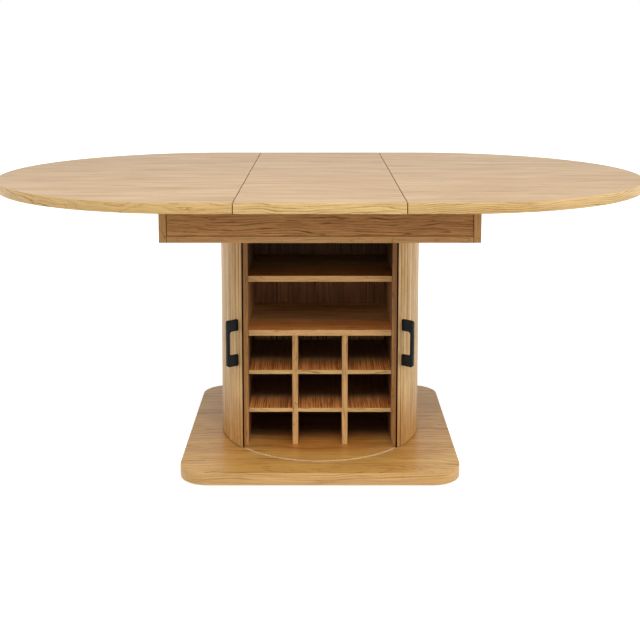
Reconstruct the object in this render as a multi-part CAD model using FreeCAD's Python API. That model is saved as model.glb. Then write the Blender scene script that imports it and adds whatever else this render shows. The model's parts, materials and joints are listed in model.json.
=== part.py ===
import FreeCAD, Part
import math
import os

# Extending table on a round storage drum. Millimetres, +Z up, front towards -Y.
# The origin is on the floor, under the middle of the table. The leaf is in and the doors are open.
# Right-hand pieces are modelled, and the left-hand ones are their mirror images.

Vector = FreeCAD.Vector
touching = 1e-6  # two coordinates that are this close are the same

# --- Table top: two halves with round ends, and a loose leaf between them
table_height = 762.0  # what is left of it goes to the compartment under the apron
top_depth = 1150.0  # front to back, and the diameter of the round ends
top_thickness = 25.0
leaf_width = 392.0
end_straight = 106.0  # straight edge of a half, from its seam to its round end
seam_gap = 1.0
top_arris = 1.5

# --- Base plate and the pads it stands on
base_width = 727.0
base_depth = 700.0
base_thickness = 32.0
base_corner_radius = 76.0
base_arris = 2.0
pad_thickness = 4.0
pad_radius = 16.0
pad_inset = 62.0  # from the plate's sides to the centres of the corner pads

# --- Cabinet box inside the drum
panel_thickness = 15.0  # side panels and rack dividers
back_thickness = 12.0
shelf_thickness = 16.0
rack_shelf_thickness = 11.0
cabinet_clearance = 4.9  # from the box's upright corners to the cloth of the doors
cell_width = 119.0
cell_columns = 3
bottom_row_height = 91.0
row_height = 95.0
open_row_height = 132.0  # the compartment between the two shelves
housing_depth = 5.0  # how far shelf ends sit in the side panels
housing_setback = 12.0  # the housings stop this far behind the front edges
joint_clearance = 0.1  # each side of a housed or half-lapped joint

# --- Apron box under the top
apron_length = 793.0
apron_depth = 720.0
apron_height = 104.0
apron_end_thickness = 18.0
apron_board_thickness = 18.0
apron_floor_thickness = 16.0
shadow_groove_width = 2.5
shadow_groove_depth = 3.0
corner_block_leg = 42.0
corner_block_height = 66.0
strip_width = 12.0
strip_thickness = 2.0
strip_end_gap = 24.0  # from an end board's strip to the runners beside it

# --- Extension slides: steel channels on wooden rails, hooked members on wooden runners
rail_thickness = 18.0
rail_spacing = 500.0  # between the centres of the two rails
runner_thickness = 18.0
runner_height = 40.0
runner_length = 420.0
runner_end_gap = 4.0  # from the inner end of a runner to the seam
slide_length = 350.0
slide_end_gap = 3.5  # from a channel to the apron's end board
channel_height = 45.0
channel_depth = 10.5
channel_lip = 5.0
channel_top_gap = 2.5  # from the channel's top to the underside of the top
steel_thickness = 1.5
member_height = 30.0
member_reach = 1.5  # how far a hook stays off the web of its channel
member_face_gap = 0.5  # from the lips of the channel to the web of the member
hook_gap = 1.0  # above and below a hook, inside its channel
shoe_length = 25.0
shoe_clearance = 0.3
notch_clearance = 2.0

# --- Tambour doors, which turn about the drum's axis in a round track
door_radius = 277.0  # from the axis to the faces of the slats
door_thickness = 12.0
door_cover_angle = 5.25  # how far an open door reaches past the box's front corner
door_meeting_gap = 1.0  # between the two doors, where they meet at the back
door_end_gap = 3.0  # above and below a door
rib_pitch = 14.8  # the doors take as many whole ribs as come nearest to it
stile_ribs = 2
rib_gap = 1.6
rib_arris = 1.1
stile_groove_depth = 3.5
tongue_spacing = 2  # every second slat has tongues
tongue_thickness = 3.0
tongue_width = 9.0
tongue_engagement = 5.0
track_width = 7.0
track_depth = 8.0
slot_clearance = 0.4  # each side of a tongue
slot_end_clearance = 0.5
upper_slot_spare = 2.0  # extra depth of the upper slot, to lift a door in
canvas_thickness = 0.8
canvas_margin = 12.0  # from the slats' shoulders to the edge of the canvas

# --- Door pulls
pull_length = 126.0
pull_reach = 34.0
pull_width = 10.0
pull_bar = 8.0
pull_foot = 30.0
pull_corner_radius = 6.0
pull_inner_radius = 7.0
pull_arris = 1.0
pull_height = 325.0  # centre of a pull, from the floor
pull_rib = 1  # the rib that carries the pull, counted from the leading edge

# --- Bolts that hold the cabinet on the base plate
bolt_radius = 4.0
bolt_head_sides = 6
bolt_head_width = 13.0  # across its flats
bolt_head_height = 3.0  # low, because the pads lift the plate only a little
bolt_length = 75.0
bolt_spacing = 200.0  # between the two bolts in a side panel
bolt_hole_clearance = 0.3

# --- Heights and places that follow from the sizes above
base_bottom = pad_thickness
base_top = base_bottom + base_thickness
lower_rack_z = base_top + bottom_row_height
upper_rack_z = lower_rack_z + rack_shelf_thickness + row_height
lower_shelf_z = upper_rack_z + rack_shelf_thickness + row_height
upper_shelf_z = lower_shelf_z + shelf_thickness + open_row_height
top_underside = table_height - top_thickness
apron_top = top_underside - strip_thickness
apron_bottom = apron_top - apron_height
apron_floor_top = apron_bottom + apron_floor_thickness

top_radius = top_depth / 2
seam_x = leaf_width / 2 + seam_gap
closing_travel = seam_x - seam_gap / 2

column_pitch = cell_width + panel_thickness
inner_half_width = (cell_columns * column_pitch - panel_thickness) / 2
outer_half_width = inner_half_width + panel_thickness
canvas_outside = door_radius - door_thickness - joint_clearance
canvas_inside = canvas_outside - canvas_thickness
cabinet_back = math.sqrt((canvas_inside - cabinet_clearance) ** 2 - outer_half_width**2)
cabinet_front = -cabinet_back
shelf_back = cabinet_back - back_thickness
shelf_middle = (cabinet_front + shelf_back) / 2
divider_xs = [column_pitch * (i + 1 - cell_columns / 2) for i in range(cell_columns - 1)]
side_panel_x = inner_half_width + panel_thickness / 2
bolt_places = [(x, y) for x in (-side_panel_x, side_panel_x) for y in (-bolt_spacing / 2, bolt_spacing / 2)]

apron_inner_x = apron_length / 2 - apron_end_thickness
apron_half_depth = apron_depth / 2
rail_face_y = rail_spacing / 2 - rail_thickness / 2
channel_x = apron_inner_x - slide_end_gap - slide_length
member_x = channel_x + closing_travel
slide_z = top_underside - channel_top_gap - channel_height / 2
member_web = channel_depth + member_face_gap
runner_face = member_web + steel_thickness
hook_half_height = channel_height / 2 - steel_thickness - hook_gap

track_radius = door_radius - door_thickness / 2
slot_width = tongue_thickness + 2 * slot_clearance
door_bottom = base_top + door_end_gap
door_top = apron_bottom - door_end_gap
meeting_angle = math.degrees(door_meeting_gap / 2 / door_radius)
door_open_angle = math.degrees(math.atan2(outer_half_width, cabinet_back)) - door_cover_angle
door_arc = 180.0 - meeting_angle - door_open_angle
rib_count = round(math.radians(door_arc) * door_radius / rib_pitch)
rib_angle = door_arc / rib_count
rib_width = 2 * door_radius * math.tan(math.radians(rib_angle) / 2) - rib_gap
pull_angle = door_open_angle + (pull_rib + 0.5) * rib_angle


# --- Shapes that the pieces are made of
def block(x0, x1, y0, y1, z0, z1):
    """A box between two opposite corners."""
    return Part.makeBox(x1 - x0, y1 - y0, z1 - z0, Vector(x0, y0, z0))


def rod(radius, start, end):
    """A round rod from one point to another."""
    run = end.sub(start)
    return Part.makeCylinder(radius, run.Length, start, run)


def ring(middle_radius, width, z0, z1):
    """A flat ring about the drum's axis."""
    outside = rod(middle_radius + width / 2, Vector(0, 0, z0), Vector(0, 0, z1))
    inside = rod(middle_radius - width / 2, Vector(0, 0, z0), Vector(0, 0, z1))
    return outside.cut(inside)


def prism(points, sweep):
    """A closed polygon swept along a straight line."""
    return Part.Face(Part.makePolygon(points + points[:1])).extrude(sweep)


def edges_at(shape, height):
    """The edges of a shape that lie at one height."""
    return [e for e in shape.Edges if all(abs(v.Z - height) < touching for v in e.Vertexes)]


def edges_along(shape, direction):
    """The straight edges of a shape that run in one direction."""
    straight = [e for e in shape.Edges if isinstance(e.Curve, Part.Line)]
    return [e for e in straight if e.Curve.Direction.cross(direction).Length < touching]


def mirrored(shape):
    """The left-hand copy of a right-hand shape."""
    return shape.mirror(Vector(0, 0, 0), Vector(1, 0, 0))


def flipped(shape):
    """The rear copy of a shape at the front."""
    return shape.mirror(Vector(0, 0, 0), Vector(0, 1, 0))


def turned(shape, angle):
    """A shape turned about the drum's axis from the front towards the right."""
    copy = shape.copy()
    copy.rotate(Vector(0, 0, 0), Vector(0, 0, 1), angle)
    return copy


# --- Table top
def half_top():
    """A half of the top: a straight seam, two straight edges and a round end."""
    arc_x = seam_x + end_straight
    low, high = Vector(arc_x, -top_radius, top_underside), Vector(arc_x, top_radius, top_underside)
    seam_low = Vector(seam_x, -top_radius, top_underside)
    seam_high = Vector(seam_x, top_radius, top_underside)
    tip = Vector(arc_x + top_radius, 0, top_underside)
    outline = Part.Wire([
        Part.LineSegment(seam_low, low).toShape(),
        Part.Arc(low, tip, high).toShape(),
        Part.LineSegment(high, seam_high).toShape(),
        Part.LineSegment(seam_high, seam_low).toShape(),
    ])
    half = Part.Face(outline).extrude(Vector(0, 0, top_thickness))
    return half.makeChamfer(top_arris, edges_at(half, table_height) + edges_at(half, top_underside))


def leaf():
    """The loose leaf between the halves."""
    board = block(-leaf_width / 2, leaf_width / 2, -top_radius, top_radius, top_underside, table_height)
    return board.makeChamfer(top_arris, edges_at(board, table_height) + edges_at(board, top_underside))


# --- Base
def base_plate():
    """The floor plate, with rounded corners, a groove for the track and four bolt holes."""
    half_width, half_depth = base_width / 2, base_depth / 2
    plate = block(-half_width, half_width, -half_depth, half_depth, base_bottom, base_top)
    plate = plate.makeFillet(base_corner_radius, edges_along(plate, Vector(0, 0, 1)))
    plate = plate.makeChamfer(base_arris, edges_at(plate, base_top))
    plate = plate.cut(ring(track_radius, track_width, base_top - track_depth, base_top))
    for x, y in bolt_places:
        hole = rod(bolt_radius + bolt_hole_clearance, Vector(x, y, base_bottom), Vector(x, y, base_top))
        plate = plate.cut(hole)
    return plate


def base_pads():
    """Round pads under the plate: one near each corner, and one in the middle."""
    x, y = base_width / 2 - pad_inset, base_depth / 2 - pad_inset
    places = [(-x, -y), (x, -y), (-x, y), (x, y), (0, 0)]
    return [rod(pad_radius, Vector(px, py, 0), Vector(px, py, pad_thickness)) for px, py in places]


def base_bolts():
    """Hexagon bolts up through the base plate into the side panels."""
    corner = bolt_head_width / 2 / math.cos(math.pi / bolt_head_sides)
    turns = [2 * math.pi * i / bolt_head_sides for i in range(bolt_head_sides)]
    bolts = []
    for x, y in bolt_places:
        corners = [Vector(x + corner * math.cos(a), y + corner * math.sin(a), base_bottom) for a in turns]
        head = prism(corners, Vector(0, 0, -bolt_head_height))
        shank = rod(bolt_radius, Vector(x, y, base_bottom), Vector(x, y, base_bottom + bolt_length))
        bolts.append(head.fuse(shank))
    return bolts


def lower_track():
    """The channel let into the base plate, flush with it, in which the doors' tongues run."""
    channel = ring(track_radius, track_width, base_top - track_depth, base_top)
    slot_bottom = base_top - tongue_engagement - slot_end_clearance
    return channel.cut(ring(track_radius, slot_width, slot_bottom, base_top))


# --- Cabinet
def shelf_levels():
    """The underside and the thickness of each shelf, from the floor up."""
    return [
        (lower_rack_z, rack_shelf_thickness),
        (upper_rack_z, rack_shelf_thickness),
        (lower_shelf_z, shelf_thickness),
        (upper_shelf_z, shelf_thickness),
    ]


def side_panel():
    """The right side panel, with stopped housings for the ends of four shelves."""
    panel = block(inner_half_width, outer_half_width, cabinet_front, cabinet_back, base_top, apron_bottom)
    for z, thickness in shelf_levels():
        panel = panel.cut(
            block(
                inner_half_width,
                inner_half_width + housing_depth + joint_clearance,
                cabinet_front + housing_setback - joint_clearance,
                shelf_back,
                z - joint_clearance,
                z + thickness + joint_clearance,
            )
        )
    for x, y in bolt_places:
        panel = panel.cut(rod(bolt_radius, Vector(x, y, base_top), Vector(x, y, base_bottom + bolt_length)))
    return panel


def back_panel():
    """The panel that closes the back of the cabinet, between the side panels."""
    return block(-inner_half_width, inner_half_width, shelf_back, cabinet_back, base_top, apron_bottom)


def shelf(z, thickness):
    """A shelf whose ends sit in the side panels' housings behind its front corners."""
    end = inner_half_width + housing_depth
    front = block(-inner_half_width, inner_half_width, cabinet_front, shelf_back, z, z + thickness)
    behind = block(-end, end, cabinet_front + housing_setback, shelf_back, z, z + thickness)
    return front.fuse(behind).removeSplitter()


def rack_shelf(z):
    """A thin shelf, slotted from the front to its middle where the dividers cross it."""
    board = shelf(z, rack_shelf_thickness)
    reach = panel_thickness / 2 + joint_clearance
    for x in divider_xs:
        lap = shelf_middle + joint_clearance
        board = board.cut(block(x - reach, x + reach, cabinet_front, lap, z, z + rack_shelf_thickness))
    return board


def divider(x):
    """An upright divider, slotted from the back to its middle where the rack shelves cross it."""
    reach = panel_thickness / 2
    board = block(x - reach, x + reach, cabinet_front, shelf_back, base_top, lower_shelf_z)
    for z in (lower_rack_z, upper_rack_z):
        low, high = z - joint_clearance, z + rack_shelf_thickness + joint_clearance
        board = board.cut(block(x - reach, x + reach, shelf_middle, shelf_back, low, high))
    return board


# --- Apron
def apron_floor():
    """The floor of the apron, with the upper slot for the doors' tongues in its underside."""
    floor = block(
        -apron_inner_x, apron_inner_x, -apron_half_depth, apron_half_depth, apron_bottom, apron_floor_top
    )
    slot_depth = tongue_engagement + slot_end_clearance + upper_slot_spare
    return floor.cut(ring(track_radius, slot_width, apron_bottom, apron_bottom + slot_depth))


def apron_end():
    """The right end board, notched at the top where the runners pass."""
    board = block(
        apron_inner_x, apron_length / 2, -apron_half_depth, apron_half_depth, apron_bottom, apron_top
    )
    near = rail_face_y - member_reach - steel_thickness + notch_clearance
    far = rail_face_y - runner_face - runner_thickness - notch_clearance
    sill = slide_z - hook_half_height - notch_clearance
    notch = block(apron_inner_x, apron_length / 2, -near, -far, sill, apron_top)
    return board.cut(notch).cut(flipped(notch))


def apron_board():
    """The front board, with a shadow groove along its foot and up both its ends."""
    front = -apron_half_depth
    board = block(
        -apron_inner_x, apron_inner_x, front, front + apron_board_thickness, apron_floor_top, apron_top
    )
    bottom = front + shadow_groove_depth
    foot = block(
        -apron_inner_x, apron_inner_x, front, bottom, apron_floor_top, apron_floor_top + shadow_groove_width
    )
    end = block(
        apron_inner_x - shadow_groove_width, apron_inner_x, front, bottom, apron_floor_top, apron_top
    )
    return board.cut(foot).cut(end).cut(mirrored(end))


def corner_blocks():
    """Three-cornered blocks glued into the corners of the apron box."""
    x, y = apron_inner_x, -(apron_half_depth - apron_board_thickness)
    z = apron_floor_top
    corner = prism(
        [Vector(x, y, z), Vector(x, y + corner_block_leg, z), Vector(x - corner_block_leg, y, z)],
        Vector(0, 0, corner_block_height),
    )
    return [corner, mirrored(corner), flipped(corner), mirrored(flipped(corner))]


def slide_rail():
    """The front wooden rail that carries two slide channels and helps to carry the leaf."""
    return block(
        -apron_inner_x,
        apron_inner_x,
        -rail_face_y - rail_thickness,
        -rail_face_y,
        apron_floor_top,
        apron_top,
    )


def glide_strips():
    """Strips on the apron's edges and rails, on which the halves slide and the leaf lies."""
    long_edge = -apron_half_depth + apron_board_thickness / 2
    long_rail = -rail_face_y - rail_thickness / 2
    reach = strip_width / 2
    long_strips = [
        block(-apron_inner_x, apron_inner_x, y - reach, y + reach, apron_top, top_underside)
        for y in (long_edge, long_rail)
    ]
    end_x = apron_inner_x + apron_end_thickness / 2
    end_y = rail_face_y - runner_face - runner_thickness - strip_end_gap
    end_strip = block(end_x - reach, end_x + reach, -end_y, end_y, apron_top, top_underside)
    return long_strips + [flipped(s) for s in long_strips] + [end_strip, mirrored(end_strip)]


# --- Slides
def slide_section(outline, x, length):
    """A rolled steel section for the front rail: outline has (distance off the rail, height) points."""
    points = [Vector(x, u - rail_face_y, slide_z + v) for u, v in outline]
    return prism(points, Vector(length, 0, 0))


def slide_channel():
    """The channel fixed to the front rail, on the right, with lips that hold the member in."""
    h, d, t = channel_height / 2, channel_depth, steel_thickness
    lip = h - channel_lip
    lower = [(0, -h), (d, -h), (d, -lip), (d - t, -lip), (d - t, t - h), (t, t - h)]
    upper = [(u, -v) for u, v in reversed(lower)]
    return slide_section(lower + upper, channel_x, slide_length)


def slide_member():
    """The hooked member that runs in the channel, and is fixed to the front right runner."""
    h, t, hook = member_height / 2, steel_thickness, hook_half_height
    back = t + member_reach
    lower = [
        (runner_face, -h), (back + t, -h), (back + t, -hook),
        (back, -hook), (back, t - h), (member_web, t - h),
    ]
    upper = [(u, -v) for u, v in reversed(lower)]
    return slide_section(lower + upper, member_x, slide_length)


def slide_shoes():
    """Nylon shoes on the inner end of the front right member, above and below its web."""
    inner = member_height / 2 + joint_clearance
    outer = channel_height / 2 - steel_thickness - shoe_clearance
    near = 2 * steel_thickness + member_reach + joint_clearance
    far = channel_depth - steel_thickness - shoe_clearance
    upper = [(near, inner), (far, inner), (far, outer), (near, outer)]
    lower = [(u, -v) for u, v in upper]
    return [slide_section(outline, member_x, shoe_length) for outline in (upper, lower)]


def runner():
    """The front right runner, fixed under the half top."""
    x = seam_x + runner_end_gap
    y = -rail_face_y + runner_face
    return block(x, x + runner_length, y, y + runner_thickness, top_underside - runner_height, top_underside)


def front_and_back(shapes):
    """Shapes of the front slide, with their copies for the back one."""
    return shapes + [flipped(s) for s in shapes]


# --- Doors, made at the front and turned to their places on the right
def rib():
    """One rib at the front of the drum: a flat-faced bar with eased edges."""
    half, face, back = rib_width / 2, -door_radius, door_thickness - door_radius
    outline = [
        (half - rib_arris, face), (half, face + rib_arris), (half, back),
        (-half, back), (-half, face + rib_arris), (rib_arris - half, face),
    ]
    return prism([Vector(x, y, door_bottom) for x, y in outline], Vector(0, 0, door_top - door_bottom))


def tongues():
    """The tongues at the foot and head of a slat, which run in the track and the upper slot."""
    x, y = tongue_width / 2, tongue_thickness / 2
    low = block(-x, x, -track_radius - y, y - track_radius, base_top - tongue_engagement, door_bottom)
    high = block(-x, x, -track_radius - y, y - track_radius, door_top, apron_bottom + tongue_engagement)
    return [low, high]


def rib_place(index):
    """The angle of a rib's middle, from the front."""
    return door_open_angle + (index + 0.5) * rib_angle


def door_slats():
    """The single slats of the right door, every second one with tongues at its ends."""
    low, high = tongues()
    plain = rib()
    tongued = plain.fuse(low).fuse(high).removeSplitter()
    return [
        turned(plain if i % tongue_spacing else tongued, rib_place(i)) for i in range(stile_ribs, rib_count)
    ]


def door_stile():
    """The wide leading slat of the right door, grooved to look like single ribs, that takes the pull."""
    low, high = tongues()
    pieces = [turned(rib(), rib_place(i)) for i in range(stile_ribs)]
    pieces += [turned(low, rib_place(i)) for i in range(stile_ribs)]
    pieces += [turned(high, rib_place(i)) for i in range(stile_ribs)]
    web_face = stile_groove_depth - door_radius
    web_half = rib_gap + rib_arris
    for i in range(1, stile_ribs):
        web = block(-web_half, web_half, web_face, door_thickness - door_radius, door_bottom, door_top)
        pieces.append(turned(web, door_open_angle + i * rib_angle))
    return pieces[0].multiFuse(pieces[1:]).removeSplitter()


def door_canvas():
    """The cloth glued to the backs of the right door's slats, on which they hinge."""
    low, high = door_bottom + canvas_margin, door_top - canvas_margin
    start, span = rib_place(0) - rib_angle / 4, door_arc - rib_angle / 2
    start_turn = start - 90.0  # a wedge starts on +X, which is 90 degrees from the front
    wedges = [
        Part.makeCylinder(radius, high - low, Vector(0, 0, low), Vector(0, 0, 1), span)
        for radius in (canvas_outside, canvas_inside)
    ]
    return turned(wedges[0].cut(wedges[1]), start_turn)


# --- Pulls
def door_pull():
    """The right door's pull: a flat bow with square feet, round corners and eased edges."""
    half, window = pull_length / 2, pull_length / 2 - pull_foot
    outline = [
        (0, -half), (pull_reach, -half), (pull_reach, half), (0, half),
        (0, window), (pull_reach - pull_bar, window), (pull_reach - pull_bar, -window), (0, -window),
    ]
    x = -pull_width / 2
    points = [Vector(x, -door_radius - p, pull_height + q) for p, q in outline]
    bow = prism(points, Vector(pull_width, 0, 0))

    for reach, radius in ((pull_reach, pull_corner_radius), (pull_reach - pull_bar, pull_inner_radius)):
        across = edges_along(bow, Vector(1, 0, 0))
        corners = [e for e in across if abs(e.Vertexes[0].Y + door_radius + reach) < touching]
        bow = bow.makeFillet(radius, corners)
    flanks = [f for f in bow.Faces if abs(f.normalAt(0, 0).x) > 1 - touching]
    seat = -door_radius - touching
    arrises = [e for f in flanks for e in f.Edges if min(v.Y for v in e.Vertexes) < seat]
    bow = bow.makeChamfer(pull_arris, arrises)
    return turned(bow, pull_angle)


def both_sides(name, shape):
    """A right-hand piece and its left-hand mirror image, under their names."""
    solids = shape if isinstance(shape, list) else [shape]
    return {"right_" + name: solids, "left_" + name: [mirrored(s) for s in solids]}


def front_and_rear(name, shape):
    """A front piece and its rear mirror image, under their names."""
    return {"front_" + name: [shape], "rear_" + name: [flipped(shape)]}


nodes = {
    "leaf": [leaf()],
    "base_plate": [base_plate()],
    "base_pads": base_pads(),
    "base_bolts": base_bolts(),
    "lower_track": [lower_track()],
    "back_panel": [back_panel()],
    "lower_rack_shelf": [rack_shelf(lower_rack_z)],
    "upper_rack_shelf": [rack_shelf(upper_rack_z)],
    "lower_shelf": [shelf(lower_shelf_z, shelf_thickness)],
    "upper_shelf": [shelf(upper_shelf_z, shelf_thickness)],
    "apron_floor": [apron_floor()],
    "apron_corner_blocks": corner_blocks(),
    "glide_strips": glide_strips(),
}
nodes.update(both_sides("side_panel", side_panel()))
nodes.update(both_sides("apron_end", apron_end()))
nodes.update(front_and_rear("apron_board", apron_board()))
nodes.update(front_and_rear("slide_rail", slide_rail()))
nodes.update(both_sides("slide_channels", front_and_back([slide_channel()])))
nodes.update(both_sides("slide_members", front_and_back([slide_member()])))
nodes.update(both_sides("slide_shoes", front_and_back(slide_shoes())))
nodes.update(both_sides("half_top", half_top()))
nodes.update(both_sides("front_runner", runner()))
nodes.update(both_sides("rear_runner", flipped(runner())))
nodes.update(both_sides("door_slats", door_slats()))
nodes.update(both_sides("door_stile", door_stile()))
nodes.update(both_sides("door_canvas", door_canvas()))
nodes.update(both_sides("door_pull", door_pull()))
for number, x in enumerate(divider_xs, 1):
    nodes[f"rack_divider_{number}"] = [divider(x)]

os.makedirs("parts", exist_ok=True)
for name, solids in nodes.items():
    shape = solids[0] if len(solids) == 1 else Part.makeCompound(solids)
    shape.exportStep(f"parts/{name}.step")
print(f"{len(nodes)} nodes, {rib_count} ribs on each door, cabinet {2 * cabinet_back:.1f} mm deep")
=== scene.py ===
import json
import math

import bmesh
import bpy
from bpy.props import FloatProperty, FloatVectorProperty, IntProperty, PointerProperty
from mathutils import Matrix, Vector


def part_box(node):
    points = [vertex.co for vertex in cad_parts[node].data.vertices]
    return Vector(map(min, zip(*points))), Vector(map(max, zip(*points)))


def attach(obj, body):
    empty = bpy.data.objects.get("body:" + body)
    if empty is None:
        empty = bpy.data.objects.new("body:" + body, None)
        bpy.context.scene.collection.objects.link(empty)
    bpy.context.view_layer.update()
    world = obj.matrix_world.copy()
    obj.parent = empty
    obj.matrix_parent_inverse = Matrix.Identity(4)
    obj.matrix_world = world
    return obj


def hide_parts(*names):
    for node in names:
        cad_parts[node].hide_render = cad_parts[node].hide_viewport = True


bl_info = {
    "name": "Drum Table Finish",
    "version": (1, 0, 0),
    "blender": (4, 5, 0),
    "location": "View3D > Sidebar > Drum Table",
    "description": "Finishes an extending table on a storage drum, with its studio and camera",
    "category": "Object",
}

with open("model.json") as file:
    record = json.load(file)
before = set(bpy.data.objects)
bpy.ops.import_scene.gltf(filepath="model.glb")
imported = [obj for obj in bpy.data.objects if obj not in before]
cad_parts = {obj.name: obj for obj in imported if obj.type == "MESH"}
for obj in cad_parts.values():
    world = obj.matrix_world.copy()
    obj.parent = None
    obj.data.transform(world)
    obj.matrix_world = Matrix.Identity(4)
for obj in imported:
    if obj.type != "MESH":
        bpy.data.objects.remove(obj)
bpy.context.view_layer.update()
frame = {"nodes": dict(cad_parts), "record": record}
MM = 0.001
BODY_OF = {node: body for body, nodes in frame["record"]["behaviour"]["bodies"].items() for node in nodes}


# ---------------------------------------------------------------- sizes and colours
def paint(red, green, blue):
    """A colour as a painter's card gives it, from 0 to 255, as a shader's linear one."""
    shares = (part / 255 for part in (red, green, blue))
    return tuple(((s + 0.055) / 1.055) ** 2.4 if s > 0.04 else s / 12.92 for s in shares)


def length(label, description, default):
    """A size in metres that a user may change."""
    return FloatProperty(name=label, description=description, default=default, unit="LENGTH", precision=5)


def angle(label, description, degrees):
    """An angle that a user may change."""
    return FloatProperty(name=label, description=description, default=math.radians(degrees), unit="ROTATION")


def colour(label, description, card):
    """A colour that a user may change."""
    return FloatVectorProperty(
        name=label, description=description, default=paint(*card), subtype="COLOR", size=3, min=0, max=1
    )


def count(label, description, default, least=1):
    """A number of facets or of pieces that a user may change."""
    return IntProperty(name=label, description=description, default=default, min=least)


def amount(label, description, default):
    """A share, or a strength without a unit, that a user may change."""
    return FloatProperty(name=label, description=description, default=default, min=0)


def power(label, description, default):
    """A lamp's power in watts."""
    return FloatProperty(name=label, description=description, default=default, unit="POWER")


OAKS = {
    # each wood: its label, where it shows, and the cards of its pale and of its dark grain
    "face": ("Top", "the top's faces", (212, 178, 132), (160, 124, 82)),
    "band": ("Edge band", "the top's edge bands", (236, 202, 138), (172, 130, 72)),
    "plate": ("Floor plate", "the floor plate's face", (223, 176, 97), (148, 93, 41)),
    "rim": ("Plate rim", "the floor plate's edge", (228, 186, 122), (160, 114, 62)),
    "apron": ("Apron", "the apron's boards", (246, 187, 117), (139, 85, 40)),
    "frame": ("Apron frame", "the apron's ends and floor", (246, 195, 130), (174, 122, 71)),
    "board": ("Cabinet", "the cabinet's boards", (215, 155, 86), (120, 70, 31)),
    # the inner sides' card is darker than the cabinet's wood: painted shade inside the cabinet
    "side": ("Inner sides", "the cabinet's upright boards", (150, 112, 72), (84, 54, 30)),
    # the stile edges' dark card paints the shade on the doors' leading end faces
    "lip": ("Stile edges", "the doors' leading edges", (179, 123, 67), (120, 73, 35)),
    # the back panel's inside card is darker than its outside: painted shade at the back of the cabinet
    "back": ("Back panel", "the cabinet's back panel", (176, 132, 88), (84, 50, 26)),
    "edge": ("Front edges", "the rack shelves' front edges", (216, 190, 125), (151, 117, 64)),
    "upright": ("Divider fronts", "the rack's upright edges", (226, 182, 121), (154, 110, 60)),
    # the rack's redder, more saturated card paints the warm light that bounces inside its cells
    "rack": ("Rack", "the rack's shelves", (244, 168, 93), (144, 72, 30)),
    "slat": ("Slats", "the doors' slats", (254, 217, 154), (158, 116, 65)),
    "beech": ("Beech", "the rails and runners", (218, 186, 146), (176, 138, 98)),
}
PLAINS = {
    # each plain finish: its label, where it shows, and its card
    "seam": ("Seam shade", "Dark lines at the top's seams", (48, 26, 5)),
    "joint": ("Apron joint", "Dark lines around the apron's boards", (92, 56, 20)),
    "track": ("Track", "Lips of the lower track", (240, 216, 176)),
    "slot": ("Track slot", "Inside of the lower track", (192, 154, 106)),
    "felt": ("Pad felt", "Pads under the floor plate", (70, 62, 54)),
    "bolt": ("Bolts", "Zinc of the cabinet's bolts", (170, 170, 168)),
    "canvas": ("Canvas", "Cloth behind the slats", (40, 32, 24)),
    "coat": ("Pulls", "Powder coat of the pulls", (11, 13, 12)),
    "rubber": ("Buffers", "Soft strips on the doors' leading edges", (30, 19, 12)),
    "glide": ("Glide strips", "Strips on which the top slides", (52, 48, 44)),
    "steel": ("Slides", "Steel of the channels and members", (178, 178, 176)),
    "nylon": ("Shoes", "Nylon of the slides' shoes", (224, 220, 206)),
    "screw": ("Screws", "Zinc of the screws", (188, 164, 104)),
}


class DrumTableOak(bpy.types.PropertyGroup):
    """The two ends of each wood's range of tones."""

    __annotations__ = {
        f"{kind}_{end}": colour(f"{label}, {end}", f"{grain} grain of {place}", card)
        for kind, (label, place, *cards) in OAKS.items()
        for end, grain, card in zip(("light", "dark"), ("Pale", "Dark"), cards)
    }


class DrumTablePlain(bpy.types.PropertyGroup):
    """The colours of the other finishes."""

    __annotations__ = {kind: colour(*row) for kind, row in PLAINS.items()}


class DrumTableTop(bpy.types.PropertyGroup):
    """Sizes of the boards with banded edges."""

    arris: length("Arris", "Radius of the top's eased edges", 0.55 * MM)
    corner: length("Seam corner", "Radius of a board's upright corners at a seam", 0.65 * MM)
    arris_steps: count("Arris steps", "Facets across an arris", 4)
    end_steps: count("End steps", "Facets around a round end", 128, 8)
    board_arris: length("Board arris", "Rounding of the edges of the other boards", 0.5 * MM)
    joint_arris: length("Joint arris", "Rounding of the apron's edges", 0.3 * MM)
    joint_line: length("Joint line", "Width of the dark line at a board's ends", 1.6 * MM)
    base_arris: length("Base arris", "Radius of the floor plate's eased edges", 1.6 * MM)
    base_corner: length("Base corner", "Radius of the floor plate's corners", 76.0 * MM)
    corner_steps: count("Corner steps", "Facets around a plate corner", 20, 2)
    track_width: length("Track width", "Width of the groove for the lower track", 7.0 * MM)
    track_arris: length("Track arris", "Rounding of the lower track's lips", 0.3 * MM)
    track_steps: count("Track steps", "Facets around the groove", 160, 16)


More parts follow.
